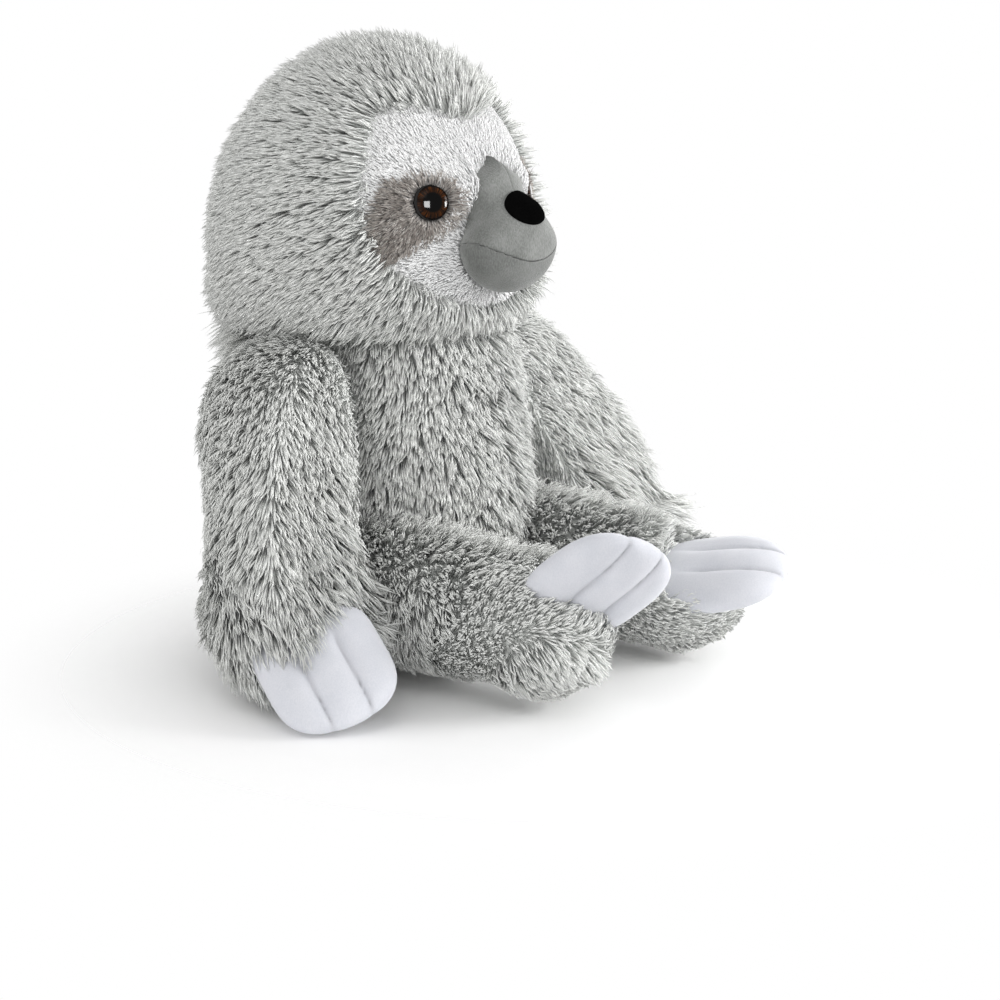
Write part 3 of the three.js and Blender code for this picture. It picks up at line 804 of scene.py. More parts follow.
        old = parts(named("OFBake", "FLOAT_VECTOR"))
        mapped = joined(number("MULTIPLY_ADD", old["X"], 0.02, named("shade", "FLOAT")), old["Y"])
        stored = add_node(
            tree,
            "GeometryNodeStoreNamedAttribute",
            {"data_type": "FLOAT2", "domain": "CORNER"},
            {"Geometry": real.outputs["Geometry"], "Name": "OFBake", "Value": mapped},
        )
        done = add_node(
            tree,
            "GeometryNodeSetMaterial",
            inputs={"Geometry": stored.outputs["Geometry"], "Material": given["Material"]},
        )
        add_node(tree, "NodeGroupOutput", inputs={"Pile": done.outputs["Geometry"]})

    def grow(
        self, skin: bpy.types.Object, name: str, material: bpy.types.Material, sizes: dict[str, float]
    ) -> bpy.types.Object:
        """Grow the pile of one skin and turn it into a plain mesh.

        Args:
            skin: the skin, with its cover, comb, pile and tone attributes.
            name: the new piece's name.
            material: the strands' finish.
            sizes: the tree's inputs that differ from their usual values.

        Returns:
            The pile as an object of its own.
        """
        if self.tree is None:
            self.build()
        modifier = skin.modifiers.new("pile", "NODES")
        modifier.node_group = self.tree
        modifier[self.sockets["Strands"]] = self.strands
        modifier[self.sockets["Material"]] = material
        for key, value in sizes.items():
            modifier[self.sockets[key]] = value
        bpy.context.view_layer.update()
        shown = skin.evaluated_get(bpy.context.evaluated_depsgraph_get())
        mesh = bpy.data.meshes.new_from_object(shown)
        skin.modifiers.remove(modifier)
        mesh.name = name
        unneeded = ("shade", "cover", "comb", "pile", "tone")
        for spare in [a.name for a in mesh.attributes if a.name in unneeded]:
            mesh.attributes.remove(mesh.attributes[spare])
        made = bpy.data.objects.new(name, mesh)
        bpy.context.scene.collection.objects.link(made)
        LOG.info("%s: %d faces", name, len(mesh.polygons))
        return made

    def tidy(self) -> None:
        """Delete the strand shapes."""
        if self.strands is not None:
            for shape in list(self.strands.objects):
                bpy.data.objects.remove(shape)
            bpy.data.collections.remove(self.strands)


def settle(piece: bpy.types.Object, body: str, slot: str, *nodes: str) -> bpy.types.Object:
    """Let a finished piece ride on its body and stand for CAD nodes.

    Args:
        piece: the finished piece.
        body: the body that it rides on.
        slot: the record's material slot; not used.
        nodes: the CAD nodes that it replaces.

    Returns:
        The piece.
    """
    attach(piece, body)
    if nodes:
        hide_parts(*nodes)
    LOG.info("%s rides on %s", piece.name, body)
    return piece


@dataclass
class Coat:
    """How the pile of one furry piece is cut and brushed, in millimetres."""

    wave: float
    seed: int
    inset: float = 8.5
    length: float = 13.5
    width: float = 1.25
    density: float = 0.72
    spacing: float = 0.5
    lift: float = 0.9
    lock: float = 3.6
    gather: float = 0.4
    tousle: float = 0.38
    lock_step: float = 0.3
    wave_size: float = 28.0
    variation: float = 0.16
    tone_spread: float = 0.28

    def sizes(self) -> dict[str, float]:
        """The sizes as the tree's inputs, in metres."""
        return {
            "Density": self.density / MM**2,
            "Spacing": self.spacing / math.sqrt(self.density) * MM,
            "Length": self.length * MM,
            "Width": self.width * MM,
            "Variation": self.variation,
            "Lift": self.lift,
            "Lock Size": self.lock * MM,
            "Gather": self.gather,
            "Tousle": self.tousle,
            "Lock Step": self.lock_step,
            "Wave Size": self.wave_size * MM,
            "Wave": self.wave,
            "Tone Spread": self.tone_spread,
            "Seed": self.seed,
        }


@dataclass
class Skin:
    """A stuffed form's cloth, with what its pile follows: cover, comb, length and tone at each point."""

    cloth: bpy.types.Object
    points: np.ndarray
    normals: np.ndarray
    comb: np.ndarray
    cover: np.ndarray
    pile: np.ndarray
    tone: np.ndarray

    @classmethod
    def on(cls, cloth: bpy.types.Object, comb: np.ndarray, tone: float) -> "Skin":
        """Start a skin that is covered all over.

        Args:
            cloth: the cloth's object.
            comb: the way the pile is brushed, before it is laid along the cloth.
            tone: the pile's middle tone.

        Returns:
            The skin.
        """
        points, normals = read_points(cloth)
        count = len(points)
        flat = laid_flat(comb, normals)
        length = np.minimum(1.8 * np.linalg.norm(flat, axis=1, keepdims=True), 1.0)
        ones = np.ones(count)
        return cls(cloth, points, normals, unit(flat) * length, ones, ones.copy(), np.full(count, tone))

    def write(self) -> None:
        """Write the attributes on the cloth."""
        store(self.cloth, "comb", self.comb)
        store(self.cloth, "cover", self.cover)
        store(self.cloth, "pile", self.pile)
        store(self.cloth, "tone", self.tone)

    def strip(self) -> None:
        """Take the attributes that only the pile needed off the cloth."""
        for name in ("comb", "cover", "pile"):
            self.cloth.data.attributes.remove(self.cloth.data.attributes[name])


def grow_round(skin: Skin, grower: PileGrower, body: str, coat: Coat, parts: int) -> None:
    """Finish a round skin, its pile in parts round its upright axis, each few enough triangles for one piece.

    Args:
        skin: the skin.
        grower: what grows the pile.
        body: the body that the skin rides on, which also names its pieces.
        coat: how the pile is cut and brushed.
        parts: how many parts there are.
    """
    skin.write()
    dress(skin.cloth, COAT.material(Tone.CLOTH))
    strands = COAT.material(Tone.STRAND)
    angle = np.arctan2(skin.points[:, 1], skin.points[:, 0])
    overlap = 0.02
    for part in range(parts):
        middle = -np.pi / 2 + 2 * np.pi * part / parts
        away = np.abs((angle - middle + np.pi) % (2 * np.pi) - np.pi)
        share = 1 - smoothstep(away, np.pi / parts - overlap, np.pi / parts + overlap)
        rewrite(skin.cloth, "cover", skin.cover * share)
        sizes = coat.sizes() | {"Seed": coat.seed + part}
        settle(grower.grow(skin.cloth, f"{body}_pile_{part + 1}", strands, sizes), body, "coat_fur")
    skin.strip()
    settle(skin.cloth, body, "coat_fur", f"{body}_skin", f"{body}_stuffing")


def grow_limb(skin: Skin, grower: PileGrower, name: str, coat: Coat) -> None:
    """Finish a limb's skin, its pile in one piece.

    Args:
        skin: the skin.
        grower: what grows the pile.
        name: the limb's body, which also names its pieces.
        coat: how the pile is cut and brushed.
    """
    skin.write()
    dress(skin.cloth, COAT.material(Tone.CLOTH))
    pile = grower.grow(skin.cloth, f"{name}_pile", COAT.material(Tone.STRAND), coat.sizes())
    skin.strip()
    settle(skin.cloth, name, "coat_fur", f"{name}_skin", f"{name}_stuffing")
    settle(pile, name, "coat_fur")


# ---------------------------------------------------------------- torso


@dataclass
class Torso:
    """The stuffed torso, from its flat seat to the neck, in millimetres."""

    half_width: float = 66.0
    half_depth: float = 81.0
    forward: float = 7.0
    heights: tuple[float, ...] = (0, 0.12, 0.42, 0.76, 1)
    widths: tuple[float, ...] = (0.76, 0.95, 1, 1, 0.94)
    depths: tuple[float, ...] = (0.74, 0.94, 1, 1.04, 1.06)
    forwards: tuple[float, ...] = (0.3, 0.7, 1, -0.1, -1.5)
    coat: Coat = field(default_factory=lambda: Coat(lock=4.2, tousle=0.5, wave=1.0, density=0.66, seed=21))
    # The pile of the seat splays out, by this share, between these depths below zero height
    seat_splay: float = 0.9
    seat: Span = (-22, -8)
    # The bare rim under the head
    collar: Span = (NECK - 6, NECK - 1)
    # The nape's longer, looser pile
    nape_back: Span = (10, 45)
    nape_height: Span = (125, 155)
    nape_loose: float = 0.55
    nape_long: float = 0.7
    rings: int = 46
    sides: int = 110

    def form(self) -> tuple[np.ndarray, list[list[int]]]:
        """The cloth's points and faces."""
        inset = self.coat.inset
        heights = smooth_row(self.heights, self.rings)
        rows = [smooth_row(table, self.rings) for table in (self.widths, self.depths, self.forwards)]
        turn = full_turn(self.sides)
        loops = np.zeros((self.rings, self.sides, 3))
        for ring, (height, width, depth, ahead) in enumerate(zip(heights, *rows)):
            loops[ring, :, 0] = (self.half_width * width - inset) * np.cos(turn)
            loops[ring, :, 1] = (self.half_depth * depth - inset) * np.sin(turn) - self.forward * ahead
            loops[ring, :, 2] = inset + height * (NECK - inset)
        points, faces = loft(loops, np.array([0, 0, inset]), np.array([0, 0, NECK]))
        return under_shoulders(points, inset), faces

    def make(self, grower: PileGrower) -> None:
        """Make the torso's cloth and pile.

        Args:
            grower: what grows the pile.
        """
        cloth = mesh_object("torso_cloth", *self.form())
        points, _ = read_points(cloth)
        comb = np.zeros_like(points)
        comb[:, 2] = -1.0
        splay = self.seat_splay * smoothstep(-points[:, 2], *self.seat)
        comb[:, :2] += unit(points[:, :2]) * splay[:, None]
        skin = Skin.on(cloth, comb, MIDDLE_TONE)
        pressed = under_arm_pile(skin, self.coat.inset)
        skin.cover = (1 - smoothstep(skin.points[:, 2], *self.collar)) * np.minimum(pressed + 0.2, 1)
        nape = smoothstep(skin.points[:, 1], *self.nape_back)
        nape = nape * smoothstep(skin.points[:, 2], *self.nape_height)
        skin.comb *= (1 - self.nape_loose * nape)[:, None]
        skin.pile = floor_pile(skin) * pressed * (1 + self.nape_long * nape)
        grow_round(skin, grower, "torso", self.coat, 2)


# ---------------------------------------------------------------- arms


SHOULDER = np.array([52.0, -5.0, 146.0])
SHOULDER_FLARE = 0.43
SHOULDER_SWING = (-25.0, 70.0)
SHOULDER_STEPS = 5
# What the torso's pile keeps of its length where an arm presses it, and the room that leaves it whole
PRESSED = 0.45
ARM_ROOM: Span = (0.5, 12.0)
# How far the cloth looks down where its pile is shortened for the floor
LOOKS_DOWN: Span = (0.3, 0.9)
# The heights over which the floor stops counting
NEAR_FLOOR: Span = (9.0, 36.0)


def shoulder_wall(points: np.ndarray, inset: float) -> np.ndarray:
    """How far out the shoulder's cone lies at each point, grown by an inset."""
    away = np.hypot(points[:, 1] - SHOULDER[1], points[:, 2] - SHOULDER[2])
    return SHOULDER[0] + SHOULDER_FLARE * away + inset


def under_shoulders(points: np.ndarray, inset: float) -> np.ndarray:
    """Draw the torso's points in to where the arms swing past them.

    Args:
        points: the torso's points.
        inset: how far inside the pile's surface the cloth lies.

    Returns:
        The points, drawn in.
    """
    wall = shoulder_wall(points, -inset)
    held = points.copy()
    held[:, 0] = np.clip(points[:, 0], -wall, wall)
    return held


def floor_pile(skin: Skin) -> np.ndarray:
    """Shorter pile where the cloth looks down close to the floor.

    Args:
        skin: the skin.

    Returns:
        The share of its length that the pile keeps at each point.
    """
    down = smoothstep(-skin.normals[:, 2], *LOOKS_DOWN)
    near = 1 - smoothstep(skin.points[:, 2], *NEAR_FLOOR)
    return 1 - 0.5 * down * near


def under_arm_pile(skin: Skin, inset: float) -> np.ndarray:
    """Shorter pile on the torso's flanks, where the arms press it.

    Args:
        skin: the torso's skin.
        inset: how far inside the pile's surface the cloth lies.

    Returns:
        The share of its length that the pile keeps at each point.
    """
    slack = shoulder_wall(skin.points, -inset) - np.abs(skin.points[:, 0])
    return PRESSED + (1 - PRESSED) * smoothstep(slack, *ARM_ROOM)


@dataclass
class Limb:
    """A stuffed limb along a smooth centre line, in millimetres."""

    places: np.ndarray
    widths: np.ndarray
    depths: np.ndarray
    upright: np.ndarray
    start_round: float
    end_round: float
    rings: int = 40
    round_rings: int = 14
    sides: int = 80

    def form(self) -> tuple[np.ndarray, list[list[int]], np.ndarray]:
        """The cloth's points, its faces, and the centre line's direction at each point."""
        centres = smooth_row(self.places, self.rings)
        along = unit(np.gradient(centres, axis=0))
        widths, depths = smooth_row(self.widths, self.rings), smooth_row(self.depths, self.rings)
        turn = full_turn(self.sides)
        loops, runs = [], []

        def section(ring: int, shift: float, scale: float) -> np.ndarray:
            """One oval loop across the centre line."""
            deep = unit(self.upright - along[ring] * np.dot(self.upright, along[ring]))
            across = np.cross(along[ring], deep)
            centre = centres[ring] + along[ring] * shift
            wide = np.outer(np.cos(turn), across * widths[ring] * scale)
            return centre + wide + np.outer(np.sin(turn), deep * depths[ring] * scale)

        for step in range(self.round_rings - 1, 0, -1):
            angle = math.pi / 2 * step / self.round_rings
            if self.start_round > 0:
                loops.append(section(0, -self.start_round * math.sin(angle), math.cos(angle)))
                runs.append(along[0])
        for ring in range(self.rings):
            loops.append(section(ring, 0.0, 1.0))
            runs.append(along[ring])
        for step in range(1, self.round_rings):
            angle = math.pi / 2 * step / self.round_rings
            loops.append(section(self.rings - 1, self.end_round * math.sin(angle), math.cos(angle)))
            runs.append(along[-1])
        first = centres[0] - along[0] * self.start_round
        last = centres[-1] + along[-1] * self.end_round
        points, faces = loft(np.array(loops), first, last)
        directions = np.vstack([np.repeat(np.array(runs), self.sides, axis=0), along[0], along[-1]])
        return points, faces, directions


@dataclass
class Arm:
    """One arm, hanging from the shoulder to the floor, in millimetres."""

    side: Side
    spread: float = 129.0
    forward: float = 50.0
    half_width: float = 40.0
    half_depth: float = 51.5
    end_round: float = 47.0
    outs: tuple[float, ...] = (0.45, 0.66, 0.83, 0.96, 1)
    drops: tuple[float, ...] = (0, 0.1, 0.43, 0.77, 1)
    aheads: tuple[float, ...] = (0, 0.1, 0.56, 0.93, 1)
    widths: tuple[float, ...] = (0.8, 0.92, 1, 1, 0.95)
    depths: tuple[float, ...] = (1, 1, 0.98, 1, 1)
    coat: Coat = field(
        default_factory=lambda: Coat(inset=4.5, length=15.5, lift=0.62, wave=1.1, wave_size=22.0, seed=31)
    )
    # How much the pile hangs straight down
    sag: float = 0.35
    # Where the inner side and the front come clear of the torso, which presses the pile
    inner_clear: Span = (0.5, 14.0)
    front_clear: Span = (45, 75)
    # Shorter pile near the shoulder and behind
    top_height: Span = (105, 150)
    top_short: float = 0.25
    back_depth: Span = (-45, 0)
    back_height: Span = (90, 180)
    back_short: float = 0.5
    # Longer, looser pile over the hand
    cuff_front: Span = (60, 90)
    cuff_low: Span = (38, 52)
    cuff_high: Span = (75, 110)
    cuff_loose: float = 0.45
    cuff_long: float = 0.55

    def limb(self) -> Limb:
        """The arm's centre line and sections."""
        inset, start = self.coat.inset, SHOULDER
        places = [
            (
                self.side.value * out * self.spread,
                start[1] - ahead * (self.forward + start[1]),
                start[2] - drop * (start[2] - self.end_round),
            )
            for out, drop, ahead in zip(self.outs, self.drops, self.aheads)
        ]
        return Limb(
            places=np.array(places),
            widths=np.array(self.widths) * self.half_width - inset,
            depths=np.array(self.depths) * self.half_depth - inset,
            upright=np.array([0.0, -1.0, 0.0]),
            start_round=0.0,
            end_round=self.end_round - inset,
        )

    def held(self, points: np.ndarray) -> np.ndarray:
        """Keep the arm's points outside the shoulder's cone and below the head.

        Args:
            points: the points of the free form.

        Returns:
            The points where they may be.
        """
        inset = self.coat.inset
        out = points.copy()
        height = NECK - 2 * GAP - SHOULDER[2] - inset + 2
        for step in np.radians(np.linspace(*SHOULDER_SWING, SHOULDER_STEPS)):
            normal = np.array([0.0, -math.sin(step), math.cos(step)])
            over = np.maximum((out - SHOULDER * [0, 1, 1]) @ normal - height, 0)
            out -= over[:, None] * normal
        wall = shoulder_wall(out, inset)
        out[:, 0] = self.side.value * np.maximum(out[:, 0] * self.side.value, wall)
        return out

    def make(self, grower: PileGrower) -> None:
        """Make the arm's cloth and pile.

        Args:
            grower: what grows the pile.
        """
        name = f"arm_{self.side.label}"
        points, faces, along = self.limb().form()
        cloth = mesh_object(f"{name}_cloth", self.held(points), faces)
        skin = Skin.on(cloth, along + np.array([0, 0, -self.sag]), MIDDLE_TONE)
        depth, height = skin.points[:, 1], skin.points[:, 2]
        inner = np.abs(skin.points[:, 0]) - shoulder_wall(skin.points, self.coat.inset)
        clear = np.maximum(smoothstep(inner, *self.inner_clear), smoothstep(-depth, *self.front_clear))
        skin.pile = floor_pile(skin) * (0.4 + 0.6 * clear)
        skin.cover = 0.6 + 0.4 * clear
        skin.pile *= 1 - self.top_short * smoothstep(height, *self.top_height)
        behind = smoothstep(depth, *self.back_depth)
        skin.pile *= 1 - self.back_short * behind * (1 - smoothstep(height, *self.back_height))
        hang_over(skin, hand(self.side), bare=0.0, room=5.0, fade=12.0, extra=0.5, press=0.85)
        cuff = smoothstep(-depth, *self.cuff_front) * smoothstep(height, *self.cuff_low)
        cuff = cuff * (1 - smoothstep(height, *self.cuff_high))
        skin.comb *= (1 - self.cuff_loose * cuff)[:, None]
        skin.pile *= 1 + self.cuff_long * cuff
        grow_limb(skin, grower, name, self.coat)


# ---------------------------------------------------------------- legs


@dataclass
class Leg:
    """One leg, stretched out along the floor, in millimetres."""

    side: Side
    hip_out: float = 54.0
    hip_forward: float = 30.0
    hip_height: float = 41.0
    spread: float = 58.0
    forward: float = 155.0
    radius: float = 41.0
    lengths: tuple[float, ...] = (0, 0.4, 0.75, 1)
    radii: tuple[float, ...] = (1, 1, 0.96, 0.98)
    coat: Coat = field(default_factory=lambda: Coat(lock=4.0, tousle=0.5, wave=0.9, density=0.62, seed=41))
    # How much the pile hangs straight down
    sag: float = 0.7
    # Where the pile turns round the heel, ahead of the heel's middle
    heel_start: float = 20.0
    heel_end: float = 15.0
    # Shorter pile at the heel's lower front
    low_front: float = 20.0
    low_height: Span = (18, 40)
    low_short: float = 0.35
    # How far along the foot the cloth under it is pressed in and bare
    bare: float = -6.0

    def hip(self) -> np.ndarray:
        """The hip's place."""
        return np.array([self.side.value * self.hip_out, -self.hip_forward, self.hip_height])

    def heel(self) -> np.ndarray:
        """The middle of the rounded heel."""
        return np.array([self.side.value * self.spread, -self.forward, self.radius * self.radii[-1]])

    def limb(self) -> Limb:
        """The leg's centre line and sections."""
        radii = np.array(self.radii) * self.radius - self.coat.inset
        places = np.array([self.hip() + (self.heel() - self.hip()) * share for share in self.lengths])
        return Limb(
            places=places,
            widths=radii,
            depths=radii,
            upright=np.array([0.0, 0.0, 1.0]),
            start_round=radii[0],
            end_round=radii[-1],
        )

    def make(self, grower: PileGrower) -> None:
        """Make the leg's cloth and pile.

        Args:
            grower: what grows the pile.
        """
        name = f"leg_{self.side.label}"
        points, faces, along = self.limb().form()
        cloth = mesh_object(f"{name}_cloth", foot(self.side).tuck(points, self.bare), faces)
        comb = along + np.array([0, 0, -self.sag])
        heel = smoothstep(-points[:, 1], self.forward - self.heel_start, self.forward + self.heel_end)
        comb += heel[:, None] * (points - self.heel()) / self.radius
        skin = Skin.on(cloth, comb, MIDDLE_TONE)
        low = smoothstep(-skin.points[:, 1], self.forward, self.forward + self.low_front)
        low = low * (1 - smoothstep(skin.points[:, 2], *self.low_height))
        skin.pile = floor_pile(skin) * (1 - self.low_short * low)
        hang_over(skin, foot(self.side), bare=self.bare, room=5.0, fade=10.0, extra=-0.45, press=1.5)
        grow_limb(skin, grower, name, self.coat)


# ---------------------------------------------------------------- mitts


@dataclass
class Mitt:
    """A leaf-shaped stuffed mitt with sewn channels, on the end of a limb, in millimetres."""

    name: str
    root: np.ndarray
    angles: Point
    half_width: float
    length: float
    thickness: float
    outline_power: float
    root_power: float = 2.9
    behind: float = 13.0
    claws: int = 3
    groove: float = 0.5
    thin_tip: float = 0.2
    curl: float = 3.0
    side_fade: float = 5.0
    root_fade: float = 6.0
    # How far above the mitt the limb's cloth is still pressed in
    press_reach: float = 16.0
    # How far over the mitt's middle the limb's cloth may stay
    keep: float = 3.0
    # Where along the mitt the channels grow to their full depth
    channel_start: Span = (0.22, 0.5)
    sides: int = 144
    rings: int = 64

    def place(self) -> Matrix:
        """The mitt's frame: X across it, -Y along it and Z its upper face."""
        pitch, roll, yaw = self.angles
        turn = (
            Matrix.Rotation(math.radians(yaw), 4, "Z")
            @ Matrix.Rotation(math.radians(pitch), 4, "X")
            @ Matrix.Rotation(math.radians(roll), 4, "Y")
        )
        return Matrix.Translation(Vector(self.root)) @ turn

    def shade(self, points: np.ndarray, bare: float) -> np.ndarray:
        """How far points lie over or under the mitt, seen straight from above it, from 0 to 1.

        Args:
            points: places on the limb.
            bare: how far along the mitt it begins to count.

        Returns:
            The share at each point.
        """
        local = in_frame(np.array(self.place()), points)
        across = smoothstep(self.half_width - np.abs(local[:, 0]), 0.0, self.side_fade)
        return across * smoothstep(-local[:, 1], bare, bare + self.root_fade)

    def tuck(self, points: np.ndarray, bare: float) -> np.ndarray:
        """Press a limb's cloth in under the mitt's upper face.

        Args:
            points: the limb's points.
            bare: how far along the mitt the cloth begins to be pressed in.

        Returns:
            The points, pressed in.
        """
        matrix = np.array(self.place())
        high = (points - matrix[:3, 3]) @ matrix[:3, 2]
        within = high < self.thickness / 2 + self.press_reach
        over = np.maximum(high - self.keep, 0) * within * self.shade(points, bare)
        return points - over[:, None] * matrix[:3, 2]

    def form(self) -> tuple[np.ndarray, list[list[int]], np.ndarray]:
        """The mitt's points in its own frame, its faces, and how near each point is to a seam."""
        turn = full_turn(self.sides)
        across = np.sign(np.cos(turn)) * np.abs(np.cos(turn)) ** 0.85
        edge = np.sign(np.sin(turn)) * np.maximum(1 - np.abs(across) ** 2.6, 0) ** 0.5
        shares = (1 - np.cos(np.pi * np.linspace(0, 1, self.rings + 2)[1:-1])) / 2
        loops, seams = [], []
        for share in shares:
            out = abs(2 * share - 1)
            power = self.root_power if share < 0.5 else self.outline_power
            width = self.half_width * (1 - out**power) ** (1 / 2.1)
            thick = self.thickness / 2 * (1 - out**2.8) ** 0.5 * (1 - self.thin_tip * share)
            place = across * width
            within = (place / self.half_width + 1) * self.claws / 2
            crown = np.sqrt(np.maximum(1 - (2 * (within % 1) - 1) ** 2, 0)) ** 0.8
            inner = (within > 0.5) & (within < self.claws - 0.5)
            sewn = np.where(inner, float(smoothstep(np.array(share), *self.channel_start)), 0.0)
            along = -self.behind + (self.length + self.behind) * share
            high = thick * edge * (1 - (1 - self.groove) * sewn * (1 - crown))
            loops.append(np.column_stack([place, np.full(self.sides, -along), high - self.curl * share**2]))
            # Where the painted shade falls: in the grooves between the channels' crowns
            seams.append(np.maximum(1 - crown / 0.7, 0) * sewn)
        first = np.array([0, self.behind, 0])
        last = np.array([0, -self.length, -self.curl])
        points, faces = loft(np.array(loops), first, last)
        return points, faces, np.array([*np.concatenate(seams), 0.0, 0.0])

    def make(self) -> None:
        """Make the mitt."""
        points, faces, seams = self.form()
        made = mesh_object(f"{self.name}_cloth", points, faces)
        # The seam attribute sets the painted shade in the grooves
        store(made, "seam", seams)
        matrix = self.place()
        matrix.translation *= MM
        made.data.transform(matrix)
        dress(made, MITT.material())
        settle(made, self.name, "mitt_cloth", f"{self.name}_mitt", f"{self.name}_stuffing")


def hang_over(
    skin: Skin, mitt: Mitt, bare: float, room: float, fade: float, extra: float, press: float
) -> None:
    """Comb the pile round a mitt's root along the mitt, and leave it longer, so that it hangs over the root.

    Args:
        skin: the limb's skin.
        mitt: the mitt.
        bare: how far along the mitt the cloth under it begins to be bare.
        room: how far round the mitt the pile follows it wholly.
        fade: over how far it goes back to the limb's way.
        extra: how much longer it is, as a share.
        press: how flat it lies.
    """
    matrix = np.array(mitt.place())
    local = in_frame(matrix, skin.points)
    off = np.maximum(np.abs(local) - np.array([mitt.half_width, mitt.length, mitt.thickness / 2]), 0)
    near = 1 - smoothstep(np.linalg.norm(off, axis=1), room, room + fade)
    along = -matrix[:3, 1] + 0.35 * unit(skin.points - matrix[:3, 3])
    way = unit(laid_flat(along, skin.normals))
    skin.comb = skin.comb * (1 - near[:, None]) + way * (press * near)[:, None]
    skin.pile = skin.pile * (1 + extra * near)
    quarter = mitt.thickness / 4
    under = mitt.shade(skin.points, bare) * (np.abs(local[:, 2] - quarter) < quarter + 3.0)
    skin.cover = skin.cover * (1 - under)


def hand(side: Side) -> Mitt:
    """The mitt of one hand, on the front of the arm's end."""
    arm = Arm(side)
    root = np.array([side.value * (arm.spread + 16), -arm.forward - 23, arm.end_round - 8])
    angles = (30, side.value * 22, side.value * 22)
    name = f"hand_{side.label}"
    return Mitt(name, root, angles, half_width=32, length=57, thickness=27, outline_power=3.4, root_power=6.0)


def foot(side: Side) -> Mitt:
    """The mitt of one foot, on the top front of the heel."""
    pitch, roll, yaw, ahead, rise = {Side.RIGHT: (-40, 36, 0, 12, 14), Side.LEFT: (-13, 20, 22, -1, 3)}[side]
    root = Leg(side).heel() + np.array([-side.value * 3, -ahead, rise])
    angles = (pitch, -side.value * roll, side.value * yaw)
    name = f"foot_{side.label}"
    return Mitt(name, root, angles, half_width=30, length=63, thickness=28, outline_power=2.9, behind=18)


# ---------------------------------------------------------------- head


